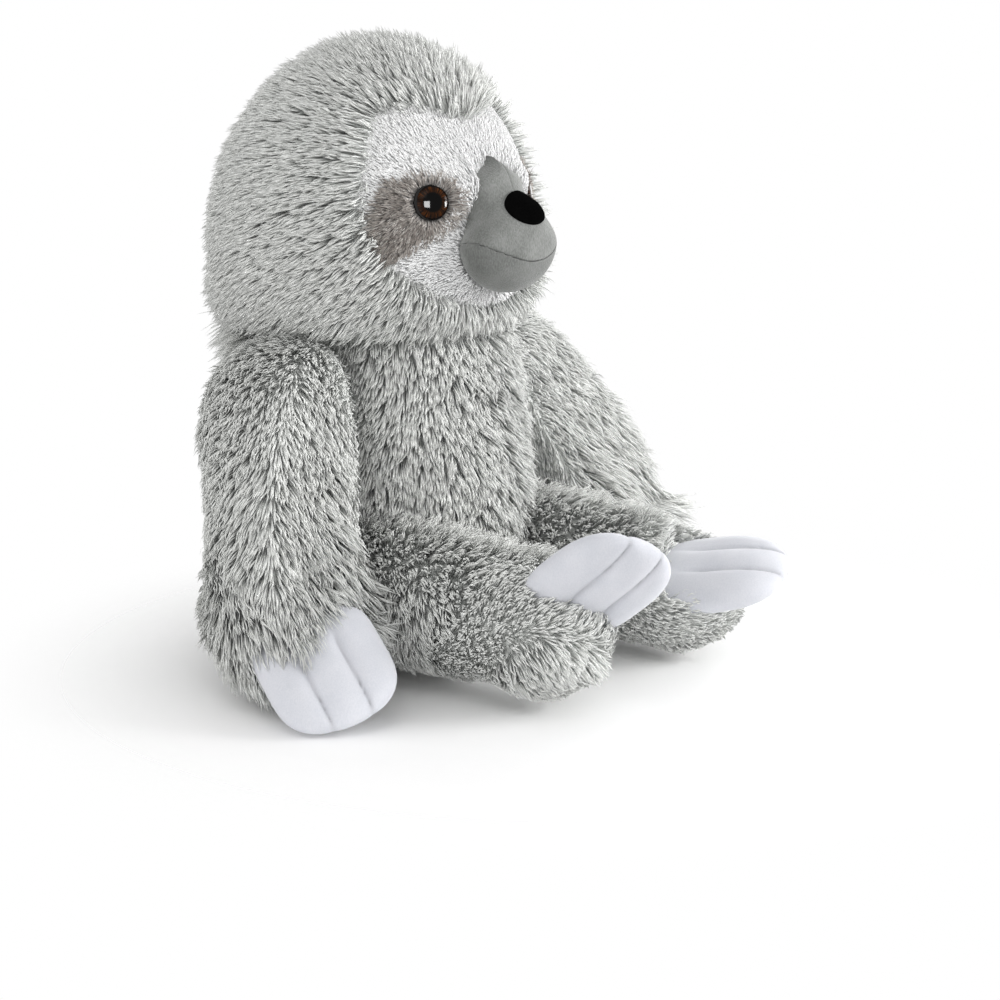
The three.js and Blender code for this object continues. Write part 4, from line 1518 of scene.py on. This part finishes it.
@dataclass
class Head:
    """The stuffed head with its face opening, in millimetres."""

    level: float = 219.0
    back: float = 3.0
    half_width: float = 96.0
    half_depth: float = 91.0
    crown: float = 110.0
    drop: float = 60.0
    drop_power: float = 3.0
    face_level: float = 243.0
    face_half_width: float = 76.0
    face_rise: float = 59.0
    face_fall: float = 55.0
    face_start: float = 28.0
    face_across: tuple[float, ...] = (0, 0.18, 0.43, 0.66, 0.87, 1, 0.96, 0.8, 0.55, 0.25, 0)
    face_up: tuple[float, ...] = (0.84, 0.9, 1, 0.92, 0.55, 0.05, -0.3, -0.6, -0.84, -0.95, -1)
    coat: Coat = field(
        default_factory=lambda: Coat(inset=9.5, lift=0.85, length=14.0, tousle=0.45, wave=0.5, seed=51)
    )
    sink: float = 7.0
    # The point in the face that the pile is brushed away from
    brushed_from: Point = (0.0, -70.0, 243.0)
    # The nape's longer, looser pile
    nape_back: Span = (0, 50)
    nape_height: Span = (190, 222)
    nape_loose: float = 0.4
    nape_long: float = 0.35
    # How far above the neck plane the head's underside goes bare
    base: Span = (9, 2)
    rings: int = 96
    sides: int = 220
    parts: int = 3

    def form(self) -> tuple[np.ndarray, list[list[int]]]:
        """The cloth's points and faces."""
        inset = self.coat.inset
        width, depth = self.half_width - inset, self.half_depth - inset
        crown, drop = self.crown - inset, self.drop - inset
        bottom = NECK + GAP
        lowest = min((self.level - bottom) / drop, 1)
        profile = []
        for share in np.linspace(lowest, 0, self.rings // 3, endpoint=False):
            profile.append(((1 - share**self.drop_power) ** (1 / self.drop_power), self.level - share * drop))
        for turn in np.linspace(0, np.pi / 2, 2 * self.rings // 3, endpoint=False):
            profile.append((math.cos(turn), self.level + crown * math.sin(turn)))
        loops = turned(profile, self.sides, width, depth, self.back)
        return loft(loops, np.array([0, self.back, bottom]), np.array([0, self.back, self.level + crown]))

    def front(self, x: np.ndarray, z: np.ndarray, inset: float) -> np.ndarray:
        """How far forward the head's surface lies at places seen from the front.

        Args:
            x: places across.
            z: heights.
            inset: how far inside the pile's surface it is taken.

        Returns:
            The surface's Y.
        """
        width, depth = self.half_width - inset, self.half_depth - inset
        up = np.maximum(z - self.level, 0) / (self.crown - inset)
        down = np.maximum(self.level - z, 0) / (self.drop - inset)
        below = np.maximum(1 - down**self.drop_power, 0) ** (1 / self.drop_power)
        radius = np.sqrt(np.maximum(1 - up**2, 0)) * below
        return self.back - depth * np.sqrt(np.maximum(radius**2 - (x / width) ** 2, 0))

    def under(self, places: np.ndarray, depth: float) -> np.ndarray:
        """Points below the pile's surface, straight in from places on it.

        Args:
            places: pairs of X and Z, seen from the front.
            depth: how far below the surface they lie.

        Returns:
            The points.
        """
        x, z = places[:, 0], places[:, 1]
        step = 0.5
        slope_x = (self.front(x + step, z, 0) - self.front(x - step, z, 0)) / (2 * step)
        slope_z = (self.front(x, z + step, 0) - self.front(x, z - step, 0)) / (2 * step)
        inward = unit(np.column_stack([-slope_x, np.ones(len(x)), -slope_z]))
        return np.column_stack([x, self.front(x, z, 0), z]) + inward * depth

    def outline(self, count: int) -> np.ndarray:
        """The face opening seen from the front, as pairs of X and Z from its top round by the left side."""
        half = []
        for across, up in zip(self.face_across, self.face_up):
            reach = self.face_rise if up > 0 else self.face_fall
            half.append((across * self.face_half_width, self.face_level + up * reach))
        other = [(-x, z) for x, z in half[1:-1]][::-1]
        return smooth_row(np.array(half + other), count, closed=True)

    def inside_face(self, points: np.ndarray, margin: float) -> np.ndarray:
        """Which points lie in the face opening.

        Args:
            points: places on the head.
            margin: how far inside the outline they have to be.

        Returns:
            A truth value for each point.
        """
        inside = ring_depth(self.outline(160), points[:, 0], points[:, 2]) > margin
        return inside & (points[:, 1] < -self.face_start)

    def make(self, grower: PileGrower) -> None:
        """Make the head's cloth and its pile, in parts round the head.

        Args:
            grower: what grows the pile.
        """
        cloth = mesh_object("head_cloth", *self.form())
        points, normals = read_points(cloth)
        fur_tips = points + normals * self.coat.inset
        points -= normals * (self.sink * self.inside_face(fur_tips, 2.0))[:, None]
        cloth.data.vertices.foreach_set("co", (points * MM).ravel())
        away = unit(points - np.array(self.brushed_from))
        fall = np.array([0, 0, -0.5]) * smoothstep(away[:, 1], 0.2, 0.9)[:, None]
        skin = Skin.on(cloth, away + np.array([0, 0.25, -0.3]) + fall, MIDDLE_TONE)
        nape = smoothstep(points[:, 1], *self.nape_back) * (1 - smoothstep(points[:, 2], *self.nape_height))
        skin.comb *= (1 - self.nape_loose * nape)[:, None]
        skin.pile *= 1 + self.nape_long * nape
        base = smoothstep(-points[:, 2], -(NECK + self.base[0]), -(NECK + self.base[1]))
        base = base * (normals[:, 2] < -0.6)
        skin.cover = np.where(self.inside_face(fur_tips, 1.0), 0.0, 1.0) * (1 - base)
        grow_round(skin, grower, "head", self.coat, self.parts)


@dataclass
class Eye:
    """A safety eye: a domed front on a plate, set on the face cloth, in millimetres."""

    side: Side
    head: Head
    out: float = 40.5
    level: float = 247.5
    toe_out: float = 11.0
    radius: float = 9.0
    height: float = 3.4
    wall: float = 0.08
    seat: float = -1.4
    face_cloth: float = 4.0
    rings: int = 14
    sides: int = 48

    def place(self) -> Matrix:
        """The eye's frame, with the way that it looks as its Z."""
        half = np.array([self.head.half_width, self.head.half_depth, self.head.crown])
        half = half + self.face_cloth - CAD_COAT
        out, up = self.side.value * self.out / half[0], (self.level - self.head.level) / half[2]
        ahead = math.sqrt(1 - out**2 - up**2)
        centre = Vector((self.side.value * self.out, self.head.back - half[1] * ahead, self.level))
        looks = Vector((out / half[0], -ahead / half[1], up / half[2])).normalized()
        looks.rotate(Matrix.Rotation(math.radians(self.side.value * self.toe_out), 3, "Z"))
        return Matrix.Translation(centre) @ looks.to_track_quat("Z", "Y").to_matrix().to_4x4()

    def make(self) -> None:
        """Make the domed eye, and finish the shank and washer behind it."""
        profile = [(1.0, 0.0), (1.0, self.wall)]
        for angle in np.linspace(0, np.pi / 2, self.rings, endpoint=False)[1:]:
            profile.append((math.cos(angle), self.wall + (1 - self.wall) * math.sin(angle)))
        profile = [(r, self.seat + self.height * z) for r, z in profile]
        loops = turned(profile, self.sides, self.radius, self.radius)
        points, faces = loft(loops, np.array([0, 0, self.seat]), np.array([0, 0, self.seat + self.height]))
        name = f"eye_{self.side.label}"
        made = mesh_object(f"{name}_front", points, faces)
        layer = made.data.uv_layers.new(name="disc")
        for loop in made.data.loops:
            x, y, _ = made.data.vertices[loop.vertex_index].co / MM
            layer.data[loop.index].uv = (math.hypot(x, y) / self.radius, (math.atan2(y, x) / math.pi + 1) / 2)
        matrix = self.place()
        matrix.translation *= MM
        made.data.transform(matrix)
        dress(made, IrisFinish().material())
        settle(made, "head", "eye", f"{name}_dome")
        dress(frame["nodes"][f"{name}_shank"], SHANK.material())
        dress(frame["nodes"][f"{name}_washer"], WASHER.material())


@dataclass
class FacePanel:
    """Half of the white face, a shell of short pile with a patch round the eye, in millimetres."""

    side: Side
    head: Head
    inset: float = 10.5
    cloth: float = 3.0
    patch: tuple[tuple[float, float], ...] = (
        (57, 260), (64, 250), (69.5, 238), (70, 226), (65, 213), (56, 215), (44, 224),
        (31, 231), (24, 240), (23.5, 250), (28.5, 258), (38, 262), (49, 261),
    )
    coat: Coat = field(
        default_factory=lambda: Coat(
            length=5.2, width=0.95, density=1.8, lift=0.15, lock=2.6, gather=0.05, tousle=0.05, wave=0.12,
            lock_step=0.08, wave_size=18.0, tone_spread=0.06, variation=0.06, seed=61,
        )
    )
    hair: Coat = field(
        default_factory=lambda: Coat(
            length=7.5, width=0.5, density=1.9, lift=0.42, lock=2.6, gather=0.35, tousle=0.35, wave=0.5,
            wave_size=9.0, tone_spread=0.4, variation=0.25, seed=71,
        )
    )
    patch_inset: float = 3.5
    patch_edge: Span = (-2.5, 3.5)
    # The padding beside the bridge: its depth, its share at the middle seam, and where it fades
    wedge: float = 10.5
    wedge_middle: float = 0.35
    wedge_out: Span = (20, 42)
    wedge_in: Span = (12, 21)
    wedge_low: Span = (234, 258)
    wedge_high: Span = (252, 286)
    # The dimple round the eye's front, outside its radius
    dimple: Span = (0.2, 2.2)
    dimple_depth: float = 0.4
    # The point that the white pile is brushed away from
    brushed_from: Point = (0.0, -90.0, 215.0)
    # The cloth's and the patch's tones
    white_tone: float = 0.1
    patch_tone: float = 0.72
    hair_tone: float = 0.45
    rings: int = 30
    edge: int = 90

    def half_outline(self) -> np.ndarray:
        """The panel's outline seen from the front, closed along the middle seam."""
        ring = self.head.outline(4 * self.edge)
        side = ring[ring[:, 0] * self.side.value >= 0.3]
        order = np.argsort(np.arctan2(side[:, 1] - self.head.face_level, side[:, 0] * self.side.value))
        side = side[order][:: max(len(side) // self.edge, 1)]
        side[:, 0] = np.abs(side[:, 0])
        low, high = side[0, 1], side[-1, 1]
        seam = np.column_stack([np.full(24, 0.3), np.linspace(high, low, 26)[1:-1]])
        return np.vstack([side, seam]) * [self.side.value, 1]

    def stand_out(self, points: np.ndarray) -> np.ndarray:
        """How far the face's padding brings each point forward, towards the bridge of the muzzle."""
        out = np.abs(points[:, 0])
        middle = self.wedge_middle + (1 - self.wedge_middle) * smoothstep(out, *self.wedge_in)
        near = (1 - smoothstep(out, *self.wedge_out)) * middle
        level = smoothstep(points[:, 2], *self.wedge_low) * (1 - smoothstep(points[:, 2], *self.wedge_high))
        return self.wedge * near * level

    def sink(self, points: np.ndarray, below: float) -> np.ndarray:
        """Press the cloth in behind the eye's front, which sits in a dimple of it.

        Args:
            points: points of the cloth.
            below: how much deeper than the cloth's face these points lie.

        Returns:
            The points, pressed in.
        """
        eye = Eye(self.side, self.head)
        matrix = np.array(eye.place())
        local = in_frame(matrix, points)
        away = np.hypot(local[:, 0], local[:, 1])
        near = 1 - smoothstep(away, eye.radius + self.dimple[0], eye.radius + self.dimple[1])
        over = np.maximum(local[:, 2] - (eye.seat - self.dimple_depth - below), 0) * near
        return points - over[:, None] * matrix[:3, 2]

    def form(self) -> tuple[np.ndarray, list[list[int]]]:
        """The shell's points and faces."""
        ring = self.half_outline()
        centre = np.array([self.side.value * 34.0, self.head.face_level])
        loops = []
        for depth in (self.inset + self.cloth, self.inset):
            shares = np.linspace(0.04, 1, self.rings)
            for share in shares if depth > self.inset else shares[::-1]:
                loop = self.head.under(centre + (ring - centre) * share, depth)
                loop[:, 1] -= self.stand_out(loop)
                loops.append(self.sink(loop, (depth - self.inset) / 2))
        back, fore = loops[0].mean(axis=0), loops[-1].mean(axis=0)
        return loft(np.array(loops), back, fore)

    def patch_share(self, points: np.ndarray) -> np.ndarray:
        """How far each point is in the eye's patch, from 0 outside to 1 well inside."""
        ring = smooth_row(np.array(self.patch), 120, closed=True)
        depth = ring_depth(ring, np.abs(points[:, 0]), points[:, 2])
        return smoothstep(depth - self.patch_inset, *self.patch_edge)

    def make(self, grower: PileGrower) -> None:
        """Make the panel's cloth and pile.

        Args:
            grower: what grows the pile.
        """
        name = f"face_panel_{self.side.label}"
        cloth = mesh_object(f"{name}_cloth", *self.form())
        points, normals = read_points(cloth)
        eye = Eye(self.side, self.head)
        away = points - np.array(eye.place().translation)
        middle = np.array(self.brushed_from)
        patch = self.patch_share(points)
        comb = unit(points - middle) * 0.9 * (1 - patch[:, None]) + unit(away) * patch[:, None]
        skin = Skin.on(cloth, comb, 0.0)
        front = smoothstep(-normals[:, 1], 0.1, 0.35)
        skin.cover = front * smoothstep(np.linalg.norm(away, axis=1), eye.radius - 1.2, eye.radius)
        skin.cover *= Muzzle().depth_in(points) > -1.0
        skin.pile = 1 - 0.1 * patch
        skin.tone = self.white_tone + self.patch_tone * patch
        skin.write()
        dress(cloth, FACE.material(Tone.CLOTH))
        pile = grower.grow(cloth, f"{name}_pile", FACE.material(Tone.STRAND), self.coat.sizes())
        rewrite(cloth, "cover", skin.cover * patch * smoothstep(patch, 0.2, 0.8))
        rewrite(cloth, "tone", np.full(len(points), self.hair_tone))
        strands = PATCH.material(Tone.STRAND)
        hair = grower.grow(cloth, f"eye_patch_{self.side.label}_hair", strands, self.hair.sizes())
        rewrite(cloth, "tone", skin.tone)
        skin.strip()
        settle(cloth, "head", "face_cloth", name)
        settle(pile, "head", "face_cloth")
        settle(hair, "head", "face_cloth")


@dataclass
class Muzzle:
    """The velboa muzzle: a ball with a bridge, cut by the mouth seam, and the nose pad, in millimetres."""

    ball: Point = (0, -85.5, 223.5)
    ball_half: Point = (32, 20.5, 25.5)
    bridge: Point = (0, -70, 240)
    ball_point: float = 0.2
    bridge_half: Point = (20.5, 19.0, 28.5)
    bridge_power: float = 2.4
    bridge_point: float = 0.97
    heart: Point = (0, -76, 234)
    chin_heart: Point = (0, -86, 207)
    melt: float = 5.0
    mouth: Point = (0, -104, 216)
    mouth_tilt: float = -11.0
    mouth_reach: float = 8.0
    smile: float = 0.0135
    seam_width: float = 1.1
    seam_depth: float = 0.35
    bridge_seam_depth: float = 0.5
    nose_half: tuple[float, float] = (15.5, 12)
    nose_thickness: float = 3.3
    nose_rise: float = 51.5
    nose_sunk: float = 0.6
    # The heights over which the ball and the bridge narrow upward
    ball_taper: Span = (222, 240)
    bridge_taper: Span = (256, 268.5)
    # How far out the mouth seam ends, and where the bridge's seam begins
    mouth_end: Span = (15, 25)
    bridge_seam_half: float = 0.6
    bridge_seam_start: Span = (250, 256)
    # How far the rays look for the surface, and how often the rest is halved
    ray: float = 90.0
    halvings: int = 36
    rings: int = 170
    sides: int = 190

    def depth_in(self, points: np.ndarray) -> np.ndarray:
        """About how far outside the muzzle's surface points lie, below zero inside."""
        off = (points - np.array(self.ball)) / np.array(self.ball_half)
        off[..., 0] /= 1 - self.ball_point * smoothstep(points[..., 2], *self.ball_taper)
        ball = (np.linalg.norm(off, axis=-1) - 1) * min(self.ball_half)
        off = np.abs(points - np.array(self.bridge)) / np.array(self.bridge_half)
        off[..., 0] /= 1 - self.bridge_point * smoothstep(points[..., 2], *self.bridge_taper)
        away = np.sum(off**self.bridge_power, axis=-1) ** (1 / self.bridge_power)
        bridge = (away - 1) * min(self.bridge_half)
        mixed = np.clip(0.5 + 0.5 * (bridge - ball) / self.melt, 0, 1)
        return bridge * (1 - mixed) + ball * mixed - self.melt * mixed * (1 - mixed)

    def over_mouth(self, points: np.ndarray) -> np.ndarray:
        """How far above the mouth seam points lie, which turns up at both ends as in a smile."""
        tilt = math.radians(self.mouth_tilt)
        off = points - np.array(self.mouth)
        back = np.minimum(off[..., 1], self.mouth_reach)
        return off[..., 2] * math.cos(tilt) - back * math.sin(tilt) - self.smile * points[..., 0] ** 2

    def reach(self, heart: np.ndarray, directions: np.ndarray, upper: bool | None = None) -> np.ndarray:
        """Where rays from a point inside leave the muzzle, or one half of it.

        Args:
            heart: the point inside.
            directions: unit vectors.
            upper: whether it is the half above the mouth or below it, or neither.

        Returns:
            The points where they leave it.
        """
        low, high = np.zeros(len(directions)), np.full(len(directions), self.ray)
        for _ in range(self.halvings):
            middle = (low + high) / 2
            points = heart + directions * middle[:, None]
            outside = self.depth_in(points) > 0
            if upper is not None:
                outside |= (self.over_mouth(points) < 0) == upper
            high = np.where(outside, middle, high)
            low = np.where(outside, low, middle)
        return heart + directions * low[:, None]

    def seams(self, points: np.ndarray) -> tuple[np.ndarray, np.ndarray]:
        """How near points are to the mouth seam and to the seam down the bridge, each from 0 to 1."""
        mouth = np.maximum(1 - np.abs(self.over_mouth(points)) / self.seam_width, 0) ** 2
        mouth *= 1 - smoothstep(np.abs(points[:, 0]), *self.mouth_end)
        bridge = np.exp(-((points[:, 0] / self.bridge_seam_half) ** 2))
        bridge = bridge * smoothstep(points[:, 2], *self.bridge_seam_start)
        return mouth, bridge * (points[:, 1] < self.heart[1])

    def half(self, upper: bool) -> tuple[np.ndarray, list[list[int]]]:
        """The closed body above or below the mouth seam.

        Args:
            upper: whether it is the part above.

        Returns:
            Its points and faces.
        """
        heart = np.array(self.heart if upper else self.chin_heart, float)
        turn = full_turn(self.sides) + math.pi / 2
        loops = []
        for ring in range(1, self.rings):
            angle = np.pi * ring / self.rings
            flat = math.sin(angle)
            directions = np.column_stack(
                [flat * np.cos(turn), flat * np.sin(turn), np.full(self.sides, math.cos(angle))]
            )
            points = self.reach(heart, directions, upper)
            mouth, bridge = self.seams(points)
            press = self.seam_depth * mouth + self.bridge_seam_depth * bridge
            loops.append(points + unit(heart - points) * press[:, None])
        ends = self.reach(heart, np.array([[0, 0, 1.0], [0, 0, -1.0]]), upper)
        return loft(np.array(loops), ends[0], ends[1])

    def nose(self) -> tuple[np.ndarray, list[list[int]]]:
        """The nose pad's points and faces: an oval that follows the muzzle, rounded at its rim."""
        rise = math.radians(self.nose_rise)
        centre = np.array(self.ball) + np.array(
            [0, -self.ball_half[1] * math.cos(rise), self.ball_half[2] * math.sin(rise)]
        )
        looks = unit(np.array([0, -math.cos(rise) / self.ball_half[1], math.sin(rise) / self.ball_half[2]]))
        up = np.cross(looks, np.array([1.0, 0, 0]))
        up *= np.sign(up[2])
        turn = full_turn(96)
        rim = np.outer(np.cos(turn) * self.nose_half[0], [1, 0, 0])
        rim = rim + np.outer(np.sin(turn) * self.nose_half[1], up)
        loops = []
        for share, height in self.nose_profile():
            places = centre + rim * share
            ground = self.reach(np.array(self.heart, float), unit(places - np.array(self.heart)))
            loops.append(ground + looks * (height * self.nose_thickness - self.nose_sunk))
        return loft(np.array(loops), loops[0].mean(axis=0), loops[-1].mean(axis=0))

    def nose_profile(self) -> list[tuple[float, float]]:
        """Pairs of shares: how far out, and how thick, from under the pad round to its top."""
        under = [(share, -0.4) for share in np.linspace(0.1, 0.96, 10)]
        side_angles = np.linspace(0.2, np.pi / 2, 6)
        top_angles = np.linspace(0, np.pi / 2, 22, endpoint=False)[1:]
        side = [(1 - 0.04 * (1 - math.sin(a)), 0.45 * (1 - math.cos(a))) for a in side_angles]
        top = [(math.cos(a), 0.45 + 0.55 * math.sin(a)) for a in top_angles]
        return under + side + top

    def make(self) -> None:
        """Make the muzzle's two pieces and the nose."""
        for name, upper, finish in (("snout_upper", True, MUZZLE), ("snout_chin", False, CHIN)):
            made = mesh_object(f"{name}_cloth", *self.half(upper))
            mouth, bridge = self.seams(read_points(made)[0])
            # Painted shade along the mouth seam and down the bridge's seam
            store(made, "seam", np.maximum(mouth**1.5, bridge))
            dress(made, finish.material())
            settle(made, "head", "muzzle_cloth", name, *(("snout_stuffing",) if upper else ()))
        pad = mesh_object("nose_velvet", *self.nose())
        # No painted seam shade on the nose pad
        store(pad, "seam", np.zeros(len(pad.data.vertices)))
        dress(pad, NOSE.material())
        settle(pad, "head", "nose_cloth", "nose_pad")


# ---------------------------------------------------------------- studio


@dataclass(frozen=True)
class Softbox:
    """A square soft lamp, in metres and watts. A glint shows only in gloss and lights nothing else."""

    name: str
    place: Point
    size: float
    watts: float
    glint: bool = False


@dataclass
class Studio:
    """The camera, the lamps, the world and the floor."""

    azimuth: float = -50.0
    elevation: float = 10.0
    distance: float = 1.65
    aim: Point = (0.0, 0.0, 0.160)
    aim_pixel: tuple[float, float] = (383.0, 345.0)
    pixels_per_mm: float = 1.84
    picture: float = 1000.0
    sensor: float = 36.0
    world_strength: float = 0.66
    floor_radius: float = 1.2
    lamps: tuple[Softbox, ...] = (
        Softbox("side", (0.88, -1.26, 0.62), 0.7, 17.0),
        Softbox("top", (-1.1, -0.7, 1.5), 0.9, 3.5),
        Softbox("left", (-1.35, -0.15, 0.22), 1.0, 3.6),
        Softbox("far", (1.25, 0.3, 0.5), 0.9, 6.0),
        Softbox("front_glint", (-1.01, -1.16, 0.61), 0.42, 50.0, glint=True),
        Softbox("side_glint", (0.58, -1.42, 0.4), 0.4, 60.0, glint=True),
    )
    floor_middle: Point = (0.0, 0.11, 0.0)
    floor_sides: int = 64
    # How far from its middle the floor begins to fade, and is gone, in metres
    floor_fade: Span = (0.14, 0.31)

    def camera(self) -> None:
        """Place the camera at the photograph's viewing angle."""
        a, e = math.radians(self.azimuth), math.radians(self.elevation)
        back = Vector((math.sin(a) * math.cos(e), -math.cos(a) * math.cos(e), math.sin(e)))
        data = bpy.data.cameras.new("camera")
        data.sensor_width = self.sensor
        data.lens = self.sensor * self.pixels_per_mm / MM * self.distance / self.picture
        data.shift_x = (self.picture / 2 - self.aim_pixel[0]) / self.picture
        data.shift_y = (self.aim_pixel[1] - self.picture / 2) / self.picture
        made = bpy.data.objects.new("camera", data)
        made.location = Vector(self.aim) + back * self.distance
        made.rotation_euler = (-back).to_track_quat("-Z", "Y").to_euler()
        bpy.context.scene.collection.objects.link(made)
        bpy.context.scene.camera = made

    def lamp(self, box: Softbox) -> None:
        """Add a lamp that looks at the toy."""
        data = bpy.data.lights.new(box.name, "AREA")
        data.size = box.size
        data.energy = box.watts
        made = bpy.data.objects.new(box.name, data)
        made.location = box.place
        made.rotation_euler = (Vector(self.aim) - Vector(box.place)).to_track_quat("-Z", "Y").to_euler()
        made.visible_camera = False
        made.visible_diffuse = not box.glint
        bpy.context.scene.collection.objects.link(made)

    def world(self) -> None:
        """Light the scene softly from all round, with a white background for the camera and for gloss."""
        world = bpy.data.worlds.new("studio")
        bpy.context.scene.world = world
        world.use_nodes = True
        tree = world.node_tree
        tree.nodes.clear()
        rays = add_node(tree, "ShaderNodeLightPath").outputs
        seen = math_node(tree, "MAXIMUM", rays["Is Camera Ray"], rays["Is Transmission Ray"])
        seen = math_node(tree, "MAXIMUM", seen, rays["Is Glossy Ray"])
        colour = (1.0, 1.0, 1.0, 1.0)
        soft, white = (
            add_node(tree, "ShaderNodeBackground", inputs={"Color": colour, "Strength": strength})
            for strength in (self.world_strength, 1.0)
        )
        mix = add_node(
            tree,
            "ShaderNodeMixShader",
            inputs={0: seen, 1: soft.outputs["Background"], 2: white.outputs["Background"]},
        )
        add_node(tree, "ShaderNodeOutputWorld", inputs={"Surface": mix.outputs["Shader"]})

    def floor(self) -> None:
        """Make the pale floor, which fades into the background."""
        turn = full_turn(self.floor_sides)
        radius = self.floor_radius / MM
        points = np.column_stack([radius * np.cos(turn), radius * np.sin(turn), np.zeros(self.floor_sides)])
        made = mesh_object("floor", points, [list(range(self.floor_sides))], smooth=False)
        material, tree, shader = new_material("studio_paper")
        place = add_node(tree, "ShaderNodeTexCoord").outputs["Object"]
        inputs = {"Vector": place, "Location": self.floor_middle}
        centred = add_node(tree, "ShaderNodeMapping", {"vector_type": "POINT"}, inputs)
        away = add_node(tree, "ShaderNodeVectorMath", {"operation": "LENGTH"}, {0: centred.outputs["Vector"]})
        fade = add_node(
            tree,
            "ShaderNodeMapRange",
            {"interpolation_type": "SMOOTHSTEP"},
            {"Value": away.outputs["Value"], "From Min": self.floor_fade[0], "From Max": self.floor_fade[1]},
        )
        shader.inputs["Base Color"].default_value = linear("FBFBFB")
        shader.inputs["Roughness"].default_value = 0.9
        clear = add_node(tree, "ShaderNodeBsdfTransparent")
        mix = add_node(
            tree,
            "ShaderNodeMixShader",
            inputs={0: fade.outputs["Result"], 1: shader.outputs["BSDF"], 2: clear.outputs["BSDF"]},
        )
        output = next(node for node in tree.nodes if node.type == "OUTPUT_MATERIAL")
        tree.links.new(mix.outputs["Shader"], output.inputs["Surface"])
        dress(made, material)

    def make(self) -> None:
        """Make all of the studio."""
        bpy.context.scene.view_settings.view_transform = "Standard"
        self.camera()
        self.world()
        for box in self.lamps:
            self.lamp(box)
        self.floor()


def main() -> None:
    """Build the studio and then the sloth, piece by piece."""
    logging.basicConfig(level=logging.INFO, format="%(message)s")
    Studio().make()
    grower = PileGrower()
    head = Head()
    Torso().make(grower)
    head.make(grower)
    Muzzle().make()
    for side in Side:
        FacePanel(side, head).make(grower)
        Eye(side, head).make()
        Arm(side).make(grower)
        Leg(side).make(grower)
        hand(side).make()
        foot(side).make()
    grower.tidy()


if __name__ == "__main__":
    main()
